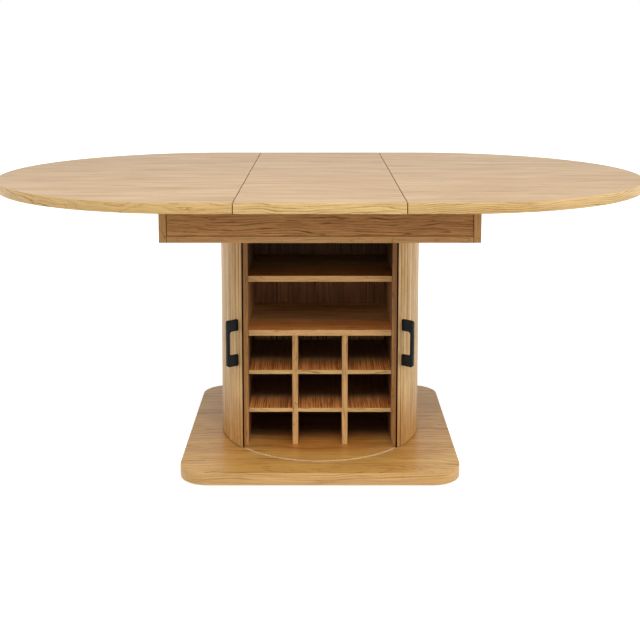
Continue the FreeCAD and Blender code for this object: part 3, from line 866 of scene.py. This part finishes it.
class DRUMTABLE_OT_base(bpy.types.Operator):
    """Models the floor plate, with eased edges and the groove for the lower track"""

    bl_idname = "drumtable.base"
    bl_label = "Floor plate"

    def execute(self, context):
        settings = context.scene.drum_table
        sizes = settings.top
        low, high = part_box("base_plate")
        track_low, track_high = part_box("lower_track")
        arcs = corner_arcs(low, high, sizes.base_corner, sizes.corner_steps)
        bm = bmesh.new()
        grain = bm.loops.layers.uv.new("grain")
        profile = edge_profile(low.z, high.z, sizes.base_arris, sizes.arris_steps)
        rim = edged_board(bm, grain, arcs, profile)
        outer, steps = track_high.x, sizes.track_steps
        inner = outer - sizes.track_width
        groove = []
        for radius, z in ((outer, high.z), (outer, track_low.z), (inner, track_low.z), (inner, high.z)):
            turns = [2 * math.pi * i / steps for i in range(steps)]
            groove.append([bm.verts.new((radius * math.cos(a), radius * math.sin(a), z)) for a in turns])
        for first, second in zip(groove, groove[1:]):
            for i in range(steps):
                j = (i + 1) % steps
                bm.faces.new((first[i], first[j], second[j], second[i]))
        bm.faces.new(groove[-1])
        border = [bm.edges.get((rim[i], rim[i - 1])) for i in range(len(rim))]
        border += [bm.edges.get((groove[0][i], groove[0][i - 1])) for i in range(steps)]
        filled = bmesh.ops.triangle_fill(bm, use_beauty=True, edges=border, normal=Vector((0, 0, 1)))
        for face in bm.faces:
            if face.material_index == 0:
                flat_map(face, grain)
        for face in filled["geom"]:
            if isinstance(face, bmesh.types.BMFace) and face.normal.z < 0:
                face.normal_flip()
        tint = shaded_floor(track_high.x)
        plate = wood(settings, "plate", "face", map_place, cut=5.0, tint=tint, gloss=PLATE_GLOSS)
        edge = wood(settings, "rim", "edge", map_place, cut=6.0)
        piece_from(bm, "floor_plate_board", "base_plate", (plate, edge))
        lip = track_high.z - sizes.track_arris
        eased_board(
            "lower_track", (plain(settings, "slot"), plain(settings, "track")), sizes.track_arris,
            pick=lambda face: face.calc_center_median().z > lip,
        )
        finish_node("base_pads", plain(settings, "felt"))
        finish_node("base_bolts", plain(settings, "bolt"))
        return {"FINISHED"}


# ---------------------------------------------------------------- repeated pieces
SLAT_SIZES = (
    "First Angle", "Slat Angle", "Radius", "Width", "Thickness", "Arris", "Foot", "Head",
    "Tongue Width", "Tongue Thickness", "Tongue Length",
)
SCREW_SIZES = ("Head Radius", "Head Height", "Recess Width", "Recess Depth")


def size_values(group, labels):
    """The values of a group's settings, by the labels of the inputs that they are for."""
    return {label: getattr(group, label.lower().replace(" ", "_")) for label in labels}


def geometry_tree(name, sizes, **others):
    """An empty tree of geometry nodes with a geometry in and out, and with named inputs."""
    tree = bpy.data.node_groups.new(name, "GeometryNodeTree")
    tree.interface.new_socket("Geometry", in_out="INPUT", socket_type="NodeSocketGeometry")
    tree.interface.new_socket("Geometry", in_out="OUTPUT", socket_type="NodeSocketGeometry")
    for label, kind in {**dict.fromkeys(sizes, "Float"), **others, "Material": "Material"}.items():
        tree.interface.new_socket(label, in_out="INPUT", socket_type=f"NodeSocket{kind}")
    return Tree(tree)


def grow(name, mesh, tree, values, body):
    """Runs a tree of geometry nodes on a mesh and makes its result a plain piece on a body."""
    piece = bpy.data.objects.new(name, mesh)
    bpy.context.scene.collection.objects.link(piece)
    modifier = piece.modifiers.new("repeat", "NODES")
    modifier.node_group = tree.tree
    for item in tree.tree.interface.items_tree:
        if item.in_out == "INPUT" and item.name in values:
            modifier[item.identifier] = values[item.name]
    depsgraph = bpy.context.evaluated_depsgraph_get()
    made = bpy.data.meshes.new_from_object(
        piece.evaluated_get(depsgraph), preserve_all_data_layers=True, depsgraph=depsgraph
    )
    piece.modifiers.remove(modifier)
    piece.data = made
    made.name = name
    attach(piece, body)
    return piece


def slat_tree():
    """Upright slats side by side around the drum, with a tongue at each end of every second one."""
    t = geometry_tree("tambour slats", SLAT_SIZES, Slats="Int", Seed="Int")
    given = t.add("NodeGroupInput").outputs
    middle = t.minus(t.product(given["Thickness"], 0.5), given["Radius"])

    spine = t.add(
        "GeometryNodeCurvePrimitiveLine",
        {"Start": t.vector(0.0, middle, given["Foot"]), "End": t.vector(0.0, middle, given["Head"])},
    ).outputs[0]
    square = t.add(
        "GeometryNodeCurvePrimitiveQuadrilateral", {"Width": given["Width"], "Height": given["Thickness"]}
    ).outputs[0]
    eased = t.add(
        "GeometryNodeFilletCurve", {"Curve": square, "Radius": given["Arris"], "Count": 3}, mode="POLY"
    ).outputs[0]
    slat = t.add(
        "GeometryNodeCurveToMesh", {"Curve": spine, "Profile Curve": eased, "Fill Caps": True}
    ).outputs[0]

    size = t.vector(given["Tongue Width"], given["Tongue Thickness"], given["Tongue Length"])
    block = t.add("GeometryNodeMeshCube", {"Size": size}).outputs[0]
    reach = t.product(given["Tongue Length"], 0.5)
    ends = []
    for height in (t.minus(given["Foot"], reach), t.total(given["Head"], reach)):
        lifted = {"Geometry": block, "Translation": t.vector(0.0, middle, height)}
        ends.append(t.add("GeometryNodeTransform", lifted).outputs[0])
    tongues = t.join(ends)

    points = t.add("GeometryNodePoints", {"Count": given["Slats"]}).outputs[0]
    index = t.add("GeometryNodeInputIndex").outputs[0]
    turn = t.total(given["First Angle"], t.product(index, given["Slat Angle"]))
    rotation = t.vector(0.0, 0.0, turn)
    every_second = t.math("LESS_THAN", t.math("MODULO", index, 2.0), 0.5)
    slats = t.add(
        "GeometryNodeInstanceOnPoints", {"Points": points, "Instance": slat, "Rotation": rotation}
    ).outputs[0]
    tongued = t.add(
        "GeometryNodeInstanceOnPoints",
        {"Points": points, "Selection": every_second, "Instance": tongues, "Rotation": rotation},
    ).outputs[0]
    sockets = {2: 0.0, 3: CUT_SPREAD, "Seed": given["Seed"]}
    chance = t.add("FunctionNodeRandomValue", sockets, data_type="FLOAT").outputs[1]
    marked = t.add(
        "GeometryNodeStoreNamedAttribute",
        {"Geometry": t.join((slats, tongued)), "Name": "slat", "Value": chance},
        data_type="FLOAT",
        domain="INSTANCE",
    ).outputs[0]
    real = t.add("GeometryNodeRealizeInstances", {"Geometry": marked}).outputs[0]
    dressed = t.add("GeometryNodeSetMaterial", {"Geometry": real, "Material": given["Material"]}).outputs[0]
    t.add("NodeGroupOutput", {"Geometry": dressed})
    return t


def buffer_strip(name, sizes, hand, material):
    """Makes the soft strip down the leading edge of a door.

    Hand is 1 for the right door and -1 for the left.
    """
    edge, out = sizes.width / 2, sizes.buffer_height
    near = -sizes.radius
    far = near + sizes.buffer_width
    corner = out / 2
    root = -edge + sizes.buffer_lap
    outline = [(root, near), (root, far), (-edge - out + corner, far), (-edge - out, far - corner)]
    outline += [(-edge - out, near + corner), (-edge - out + corner, near)]
    turn = sizes.first_angle - sizes.stile_ribs * sizes.slat_angle
    cosine, sine = math.cos(turn), math.sin(turn)
    plan = [(hand * (x * cosine - y * sine), x * sine + y * cosine) for x, y in outline]
    bm = bmesh.new()
    low, high = ([bm.verts.new((x, y, z)) for x, y in plan] for z in (sizes.foot, sizes.head))
    bm.faces.new(low)
    bm.faces.new(high)
    for i in range(len(plan)):
        j = (i + 1) % len(plan)
        bm.faces.new((low[i], low[j], high[j], high[i]))
    bmesh.ops.recalc_face_normals(bm, faces=bm.faces)
    mesh = bpy.data.meshes.new(name)
    bm.to_mesh(mesh)
    bm.free()
    mesh.materials.append(material)
    piece = bpy.data.objects.new(name, mesh)
    bpy.context.scene.collection.objects.link(piece)
    return piece


class DRUMTABLE_OT_doors(bpy.types.Operator):
    """Models the slats of both tambour doors, and finishes their stiles, cloth and pulls"""

    bl_idname = "drumtable.doors"
    bl_label = "Tambour doors"

    def execute(self, context):
        settings = context.scene.drum_table
        sizes = settings.doors
        place = drum_place(sizes.radius)
        # painted shade and a painted warm reflection of the floor plate, deeper towards the doors' foot
        foot = both_tints(painted_light_and_shade(*SHADES["door foot"]), painted_light_and_shade(*SHADES["door end"]))
        oak = wood(
            settings, "slat", "slats", place, cut=slat_cut, tint=foot, gloss=SLAT_GLOSS, shine=DOOR_SHINE
        )
        canvas = cloth("brown canvas", settings.plain.canvas)
        coat, rubber = plain(settings, "coat"), plain(settings, "rubber")
        tree = slat_tree()
        values = {**size_values(sizes, SLAT_SIZES), "Slats": sizes.slats, "Material": oak}
        for side, hand in (("right", 1), ("left", -1)):
            turns = {"First Angle": hand * sizes.first_angle, "Slat Angle": hand * sizes.slat_angle}
            start = bpy.data.meshes.new(f"{side}_start")
            slats = grow(
                f"{side}_tambour", start, tree, {**values, **turns, "Seed": 3 + hand}, f"{side}_door"
            )
            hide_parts(f"{side}_door_slats")
            name = f"{side} stile"
            stile = wood(settings, "slat", name, place, cut=3.0 + hand, tint=foot, shine=DOOR_SHINE)
            # painted shade: the darker lip card on the stile's leading end face
            painted_stile_end_shade = wood(settings, "lip", name, place, cut=5.0 + hand)
            turn = sizes.first_angle - sizes.stile_ribs * sizes.slat_angle
            ahead = Vector((-hand * math.cos(turn), -math.sin(turn), 0))
            eased_board(
                f"{side}_door_stile", (stile, painted_stile_end_shade), settings.top.board_arris,
                pick=lambda face: face.normal.dot(ahead) > FACING,
            )
            finish_node(f"{side}_door_canvas", canvas)
            finish_node(f"{side}_door_pull", coat)
            strip = buffer_strip(f"{side}_door_buffer", sizes, hand, rubber)
            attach(strip, f"{side}_door")
        return {"FINISHED"}


class DRUMTABLE_OT_cabinet(bpy.types.Operator):
    """Finishes the boards of the cabinet box and of its rack"""

    bl_idname = "drumtable.cabinet"
    bl_label = "Cabinet"

    def execute(self, context):
        settings = context.scene.drum_table
        upright = ("side", "ZYX", "upright", "ZXY")
        wide = ("board", "XYZ", "band", "XZY")
        thin = ("rack", "YXZ", "edge", "XZY")
        boards = {
            "left_side_panel": upright, "right_side_panel": upright,
            "rack_divider_1": upright, "rack_divider_2": upright,
            "upper_shelf": wide, "lower_shelf": wide,
            "upper_rack_shelf": thin, "lower_rack_shelf": thin,
        }
        band_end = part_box("upper_shelf")[0].y + FRONT_BAND
        middle, upper = (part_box(node)[0].z for node in ("lower_shelf", "upper_shelf"))
        heights = (0.0, middle, upper)
        # painted light and shade by height on the boards inside and on the back panel
        inside, behind = tuple(zip(heights, INSIDE_PAINTED_SHADE)), tuple(zip(heights, BACK_PANEL_PAINTED_SHADE))
        depths = {kind: painted_light_and_shade(*SHADES[kind]) for kind in ("rack", "board")}
        # painted light on the shelves' front edges and painted shade on the side panels' front edges
        fronts = {part: scaled(shares) for part, shares in FRONT_PAINTED_LIGHT_AND_SHADE.items()}
        lines = end_lines(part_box("right_side_panel")[0].x, settings.top.joint_line)
        fronts["shelf"] = both_tints(fronts["shelf"], lines)
        for cut, (node, (kind, order, front_kind, front_order)) in enumerate(boards.items(), 10):
            front_tint = fronts.get(node.split("_")[-1])
            front = (band_end, front_kind, board_place(node, front_order), front_tint)
            source = board_place(node, order)
            finish = {"cut": float(cut), "front": front, "tint": depths.get(kind)}
            board = wood(settings, kind, node, source, painted_shade_levels=inside, **finish)
            # the inner faces take painted shade and light by height, and the outside faces a copy without it
            if "panel" in node:
                hand = math.copysign(1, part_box(node)[0].x)
                outer = wood(settings, kind, f"{node} outside", source, **finish)
                eased_board(
                    node, (board, outer), settings.top.board_arris,
                    pick=lambda face, hand=hand: face.normal.x * hand > TOWARDS,
                )
            else:
                eased_board(node, [board], settings.top.board_arris)
        source = board_place("back_panel", "ZXY")
        # painted light on the back panel below the middle shelf, in place of the light that bounces there
        painted_cell_light = painted_light_and_shade("Z", middle, middle - FRONT_BAND, LOW_BACK_PAINTED_LIGHT)
        back = wood(settings, "back", "panel", source, cut=9.0, painted_shade_levels=behind, tint=painted_cell_light)
        # the back panel's inside takes the darker back card with painted light and shade, and its outside the
        # apron's wood
        outer = wood(settings, "apron", "back panel outside", source, cut=9.0)
        eased_board(
            "back_panel", (back, outer), settings.top.board_arris,
            pick=lambda face: face.normal.y > TOWARDS,
        )
        return {"FINISHED"}


class DRUMTABLE_OT_apron(bpy.types.Operator):
    """Finishes the apron's boards, its corner blocks and the strips on its edges"""

    bl_idname = "drumtable.apron"
    bl_label = "Apron"

    def execute(self, context):
        settings = context.scene.drum_table
        boards = {
            "front_apron_board": ("apron", "XZY"), "rear_apron_board": ("apron", "XZY"),
            "apron_floor": ("frame", "XZY"), "left_apron_end": ("apron", "YZX"),
            "right_apron_end": ("apron", "YZX"),
        }
        band_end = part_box("left_apron_end")[0].y + FRONT_BAND
        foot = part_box("front_apron_board")[0].z
        # painted shade under the top's overhang, on the upper part of the apron boards
        upper = painted_light_and_shade("Z", foot + APRON_SHADE[0], foot + APRON_SHADE[1], APRON_PAINTED_SHADE)
        lines = end_lines(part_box("apron_floor")[1].x, settings.top.joint_line)
        tints = {"front_apron_board": upper, "rear_apron_board": upper, "apron_floor": lines}
        shade = plain(settings, "joint")
        for cut, (node, (kind, order)) in enumerate(boards.items(), 30):
            front = None
            if node.endswith("apron_end"):
                front = (band_end, "frame", board_place(node, "ZXY"), None)
            source = board_place(node, order)
            board = wood(settings, kind, node, source, cut=float(cut), front=front, tint=tints.get(node))
            materials = (board, shade) if node.endswith("apron_board") else [board]
            eased_board(node, materials, settings.top.joint_arris)
        blocks = wood(settings, "beech", "blocks", board_place("apron_corner_blocks", "ZYX"), cut=41.0)
        eased_board("apron_corner_blocks", [blocks], settings.top.board_arris)
        finish_node("glide_strips", plain(settings, "glide"))
        return {"FINISHED"}


class DRUMTABLE_OT_slides(bpy.types.Operator):
    """Finishes the rails, runners, channels, members and shoes of the extension slides"""

    bl_idname = "drumtable.slides"
    bl_label = "Slides"

    def execute(self, context):
        settings = context.scene.drum_table
        steel, nylon = plain(settings, "steel"), plain(settings, "nylon")
        for place, end in enumerate(("front", "rear")):
            node = f"{end}_slide_rail"
            rail = wood(settings, "beech", node, board_place(node, "XZY"), cut=50.0 + place)
            eased_board(node, [rail], settings.top.board_arris)
        for side in ("left", "right"):
            finish_node(f"{side}_slide_channels", steel)
            finish_node(f"{side}_slide_members", steel)
            finish_node(f"{side}_slide_shoes", nylon)
            for place, end in enumerate(("front", "rear")):
                runner = f"{side}_{end}_runner"
                beech = wood(settings, "beech", runner, board_place(runner, "XYZ"), cut=60.0 + place)
                eased_board(runner, [beech], settings.top.board_arris)
        return {"FINISHED"}


PANEL_SCREWS = (0.15, 0.5, 0.85)  # places of the screws along a side panel
BLOCK_SCREWS = (0.25, 0.75)  # and up a corner block


def screw_tree():
    """Pan-head screws with a cross recess, one on each point, along the point's direction."""
    t = geometry_tree("pan-head screws", SCREW_SIZES)
    given = t.add("NodeGroupInput").outputs
    dome = t.add("GeometryNodeMeshUVSphere", {"Segments": 16, "Rings": 8, "Radius": 1.0}).outputs[0]
    scale = t.vector(given["Head Radius"], given["Head Radius"], given["Head Height"])
    head = t.add("GeometryNodeTransform", {"Geometry": dome, "Scale": scale}).outputs[0]
    arms = []
    long = given["Head Radius"]
    deep = t.product(given["Recess Depth"], 2.0)
    for size in (t.vector(long, given["Recess Width"], deep), t.vector(given["Recess Width"], long, deep)):
        cube = t.add("GeometryNodeMeshCube", {"Size": size}).outputs[0]
        lifted = t.vector(0.0, 0.0, given["Head Height"])
        arms.append(t.add("GeometryNodeTransform", {"Geometry": cube, "Translation": lifted}).outputs[0])
    cut = t.add("GeometryNodeMeshBoolean", {0: head}, operation="DIFFERENCE")
    for arm in arms:
        t.tree.links.new(arm, cut.inputs["Mesh 2"])
    way = t.add("GeometryNodeInputNamedAttribute", {"Name": "way"}, data_type="FLOAT_VECTOR").outputs[0]
    aim = t.add("FunctionNodeAlignRotationToVector", {"Vector": way}, axis="Z").outputs[0]
    sockets = {"Points": given["Geometry"], "Instance": cut.outputs["Mesh"], "Rotation": aim}
    placed = t.add("GeometryNodeInstanceOnPoints", sockets).outputs[0]
    real = t.add("GeometryNodeRealizeInstances", {"Geometry": placed}).outputs[0]
    dressed = t.add("GeometryNodeSetMaterial", {"Geometry": real, "Material": given["Material"]}).outputs[0]
    t.add("NodeGroupOutput", {"Geometry": dressed})
    return t


def screw_points(name, places):
    """A mesh of bare points, each with the way that its screw's head looks."""
    mesh = bpy.data.meshes.new(name)
    mesh.from_pydata([place for place, _ in places], [], [])
    ways = mesh.attributes.new("way", "FLOAT_VECTOR", "POINT")
    for item, (_, way) in zip(ways.data, places):
        item.vector = way
    return mesh


class DRUMTABLE_OT_screws(bpy.types.Operator):
    """Adds the screws of the runners, corner blocks and apron floor"""

    bl_idname = "drumtable.screws"
    bl_label = "Screws"

    def execute(self, context):
        settings = context.scene.drum_table
        sizes = settings.screws
        down, up = Vector((0, 0, -1)), Vector((0, 0, 1))
        places = {"left_top": [], "right_top": [], "root": []}
        for side in ("left", "right"):
            for end in ("front", "rear"):
                low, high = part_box(f"{side}_{end}_runner")
                run = high.x - low.x - 2 * sizes.end_distance
                for i in range(sizes.per_runner):
                    x = low.x + sizes.end_distance + run * i / (sizes.per_runner - 1)
                    places[f"{side}_top"].append(((x, (low.y + high.y) / 2, low.z), down))
        floor_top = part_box("front_apron_board")[0].z
        for side in ("left", "right"):
            low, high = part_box(f"{side}_side_panel")
            for share in PANEL_SCREWS:
                y = low.y + (high.y - low.y) * share
                places["root"].append((((low.x + high.x) / 2, y, floor_top), up))
        low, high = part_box("apron_corner_blocks")
        for x, y in ((low.x, low.y), (high.x, low.y), (low.x, high.y), (high.x, high.y)):
            way = Vector((-x, 0, 0)).normalized() + Vector((0, -y, 0)).normalized()
            way.normalize()
            middle = Vector((x, y, 0)) + way * (sizes.block_leg / math.sqrt(2))
            for share in BLOCK_SCREWS:
                z = low.z + (high.z - low.z) * share
                places["root"].append(((middle.x, middle.y, z), way))
        values = {**size_values(sizes, SCREW_SIZES), "Material": plain(settings, "screw")}
        tree = screw_tree()
        for body, points in places.items():
            piece = grow(f"{body}_screws", screw_points(f"{body}_points", points), tree, values, body)
        return {"FINISHED"}


# ---------------------------------------------------------------- stage
MIDDLE = (0, 0, 0.40)
LAMPS = {
    # each lamp's width and height, its place and what it looks at
    "overhead": ((3.6, 3.0), (0, -0.7, 2.9), (0, -0.3, 0.7)),
    "front": ((2.6, 1.8), (0.2, -2.70, 3.26), MIDDLE),
    "left": ((2.4, 2.0), (-4.3, -2.2, 1.1), MIDDLE),
    "right": ((2.4, 2.0), (4.3, -2.2, 1.1), MIDDLE),
}
FLOOR_CARD = (0.82, 0.82, 0.82, 1)
FLOOR_EDGES = (0.8, 2.4)  # radii between which the floor fades to white
BOUNCE_EDGES = (-1.4, -0.8)  # places along Y between which the light from the floor grows
BOUNCE_LEVELS = (0.08, 0.60)
FRONT_EDGES = (-0.93, -0.72)  # ways along Y between which the light from ahead grows to the fill
BACK_EDGES = (0.1, 0.6)  # and between which the fill falls to its share from behind
FILM_WIDTH = 36  # millimetres


def lamp(name, size, watts, place, aim):
    """A soft rectangular lamp that looks at a point."""
    data = bpy.data.lights.new(name, "AREA")
    data.shape = "RECTANGLE"
    data.size, data.size_y = size
    data.energy = watts
    obj = bpy.data.objects.new(name, data)
    obj.location = place
    obj.rotation_euler = (Vector(aim) - Vector(place)).to_track_quat("-Z", "Y").to_euler()
    bpy.context.scene.collection.objects.link(obj)


def seen_directly(t):
    """1 for rays that show the surroundings in the picture, in gloss or through glass, and 0 for light."""
    path = t.add("ShaderNodeLightPath").outputs
    shown = t.math("MAXIMUM", path["Is Camera Ray"], path["Is Glossy Ray"])
    return t.math("MAXIMUM", shown, path["Is Transmission Ray"])


class DRUMTABLE_OT_studio(bpy.types.Operator):
    """Builds the white floor, the soft lamps, the surroundings and the camera"""

    bl_idname = "drumtable.studio"
    bl_label = "Studio"

    def execute(self, context):
        settings = context.scene.drum_table.studio
        self.floor(settings)
        self.surroundings(settings)
        for name, (size, place, aim) in LAMPS.items():
            lamp(name, size, getattr(settings, name), place, aim)
        self.camera(settings)
        context.scene.view_settings.view_transform = "Standard"
        return {"FINISHED"}

    def floor(self, settings):
        """A pale floor that shows white far off and keeps the shadow near the table."""
        half = settings.floor_size / 2
        mesh = bpy.data.meshes.new("floor")
        corners = [(-half, -half, 0), (half, -half, 0), (half, half, 0), (-half, half, 0)]
        mesh.from_pydata(corners, [], [(0, 1, 2, 3)])
        floor = bpy.data.objects.new("floor", mesh)
        bpy.context.scene.collection.objects.link(floor)
        material, t, shader = surface("pale floor")
        mesh.materials.append(material)
        t.tree.nodes.remove(shader)
        place = object_place(t)
        far = t.add("ShaderNodeVectorMath", {0: place}, operation="LENGTH").outputs["Value"]
        away = t.ramp(far, *FLOOR_EDGES)
        glow = t.total(settings.glow, t.product(away, 1 - settings.glow))
        card = t.add("ShaderNodeBsdfDiffuse", {"Color": FLOOR_CARD}).outputs[0]
        shown = t.add("ShaderNodeEmission", {"Strength": glow}).outputs[0]
        both = t.add("ShaderNodeAddShader", {0: card, 1: shown}).outputs[0]
        level = t.ramp(t.parts(place)["Y"], *BOUNCE_EDGES, *BOUNCE_LEVELS)
        grey = t.vector(level, level, level)
        bounce = t.add("ShaderNodeBsdfDiffuse", {"Color": grey}).outputs[0]
        mixed = t.add("ShaderNodeMixShader", {0: seen_directly(t), 1: bounce, 2: both}).outputs[0]
        t.feed(t.tree.nodes["Material Output"], {"Surface": mixed})

    def surroundings(self, settings):
        """White where it is seen, and a dimmer light that is dimmest from ahead and weaker from behind."""
        world = bpy.data.worlds.new("studio")
        world.use_nodes = True
        bpy.context.scene.world = world
        t = Tree(world.node_tree)
        way = t.parts(t.add("ShaderNodeTexCoord").outputs["Generated"])["Y"]
        level = t.ramp(way, *FRONT_EDGES, settings.front_fill, settings.fill)
        level = t.product(level, t.ramp(way, *BACK_EDGES, 1.0, settings.back_share))
        shown = seen_directly(t)
        strength = t.total(shown, t.product(t.minus(1.0, shown), level))
        t.feed(t.tree.nodes["Background"], {"Color": (1, 1, 1, 1), "Strength": strength})

    def camera(self, settings):
        """A camera in front of the table, a little above it."""
        data = bpy.data.cameras.new("camera")
        data.lens = settings.lens
        data.sensor_width = FILM_WIDTH
        data.shift_y = settings.shift
        camera = bpy.data.objects.new("camera", data)
        camera.location = (0, -settings.camera_back, settings.camera_height)
        camera.rotation_euler = (math.pi / 2 - settings.camera_tilt, 0, 0)
        bpy.context.scene.collection.objects.link(camera)
        bpy.context.scene.camera = camera


# ---------------------------------------------------------------- panel and registration
OPERATORS = (
    DRUMTABLE_OT_top,
    DRUMTABLE_OT_base,
    DRUMTABLE_OT_doors,
    DRUMTABLE_OT_cabinet,
    DRUMTABLE_OT_apron,
    DRUMTABLE_OT_slides,
    DRUMTABLE_OT_screws,
    DRUMTABLE_OT_studio,
)


class DRUMTABLE_PT_panel(bpy.types.Panel):
    """Lists the table's settings and the operators that build it"""

    bl_idname = "DRUMTABLE_PT_panel"
    bl_label = "Drum Table"
    bl_space_type = "VIEW_3D"
    bl_region_type = "UI"
    bl_category = "Drum Table"

    def draw(self, context):
        settings = context.scene.drum_table
        for group in ("oak", "plain", "top", "doors", "screws", "studio"):
            box = self.layout.box()
            box.label(text=group.capitalize())
            values = getattr(settings, group)
            for name in values.__annotations__:
                box.prop(values, name)
        for operator in OPERATORS:
            self.layout.operator(operator.bl_idname)


CLASSES = (
    DrumTableOak,
    DrumTablePlain,
    DrumTableTop,
    DrumTableDoors,
    DrumTableScrews,
    DrumTableStudio,
    DrumTableSettings,
    *OPERATORS,
    DRUMTABLE_PT_panel,
)


def register():
    for cls in CLASSES:
        bpy.utils.register_class(cls)
    bpy.types.Scene.drum_table = PointerProperty(type=DrumTableSettings)


def unregister():
    del bpy.types.Scene.drum_table
    for cls in reversed(CLASSES):
        bpy.utils.unregister_class(cls)


def main():
    """Registers the add-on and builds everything."""
    register()
    bpy.ops.drumtable.top()
    bpy.ops.drumtable.base()
    bpy.ops.drumtable.doors()
    bpy.ops.drumtable.cabinet()
    bpy.ops.drumtable.apron()
    bpy.ops.drumtable.slides()
    bpy.ops.drumtable.screws()
    bpy.ops.drumtable.studio()


if __name__ == "__main__":
    main()
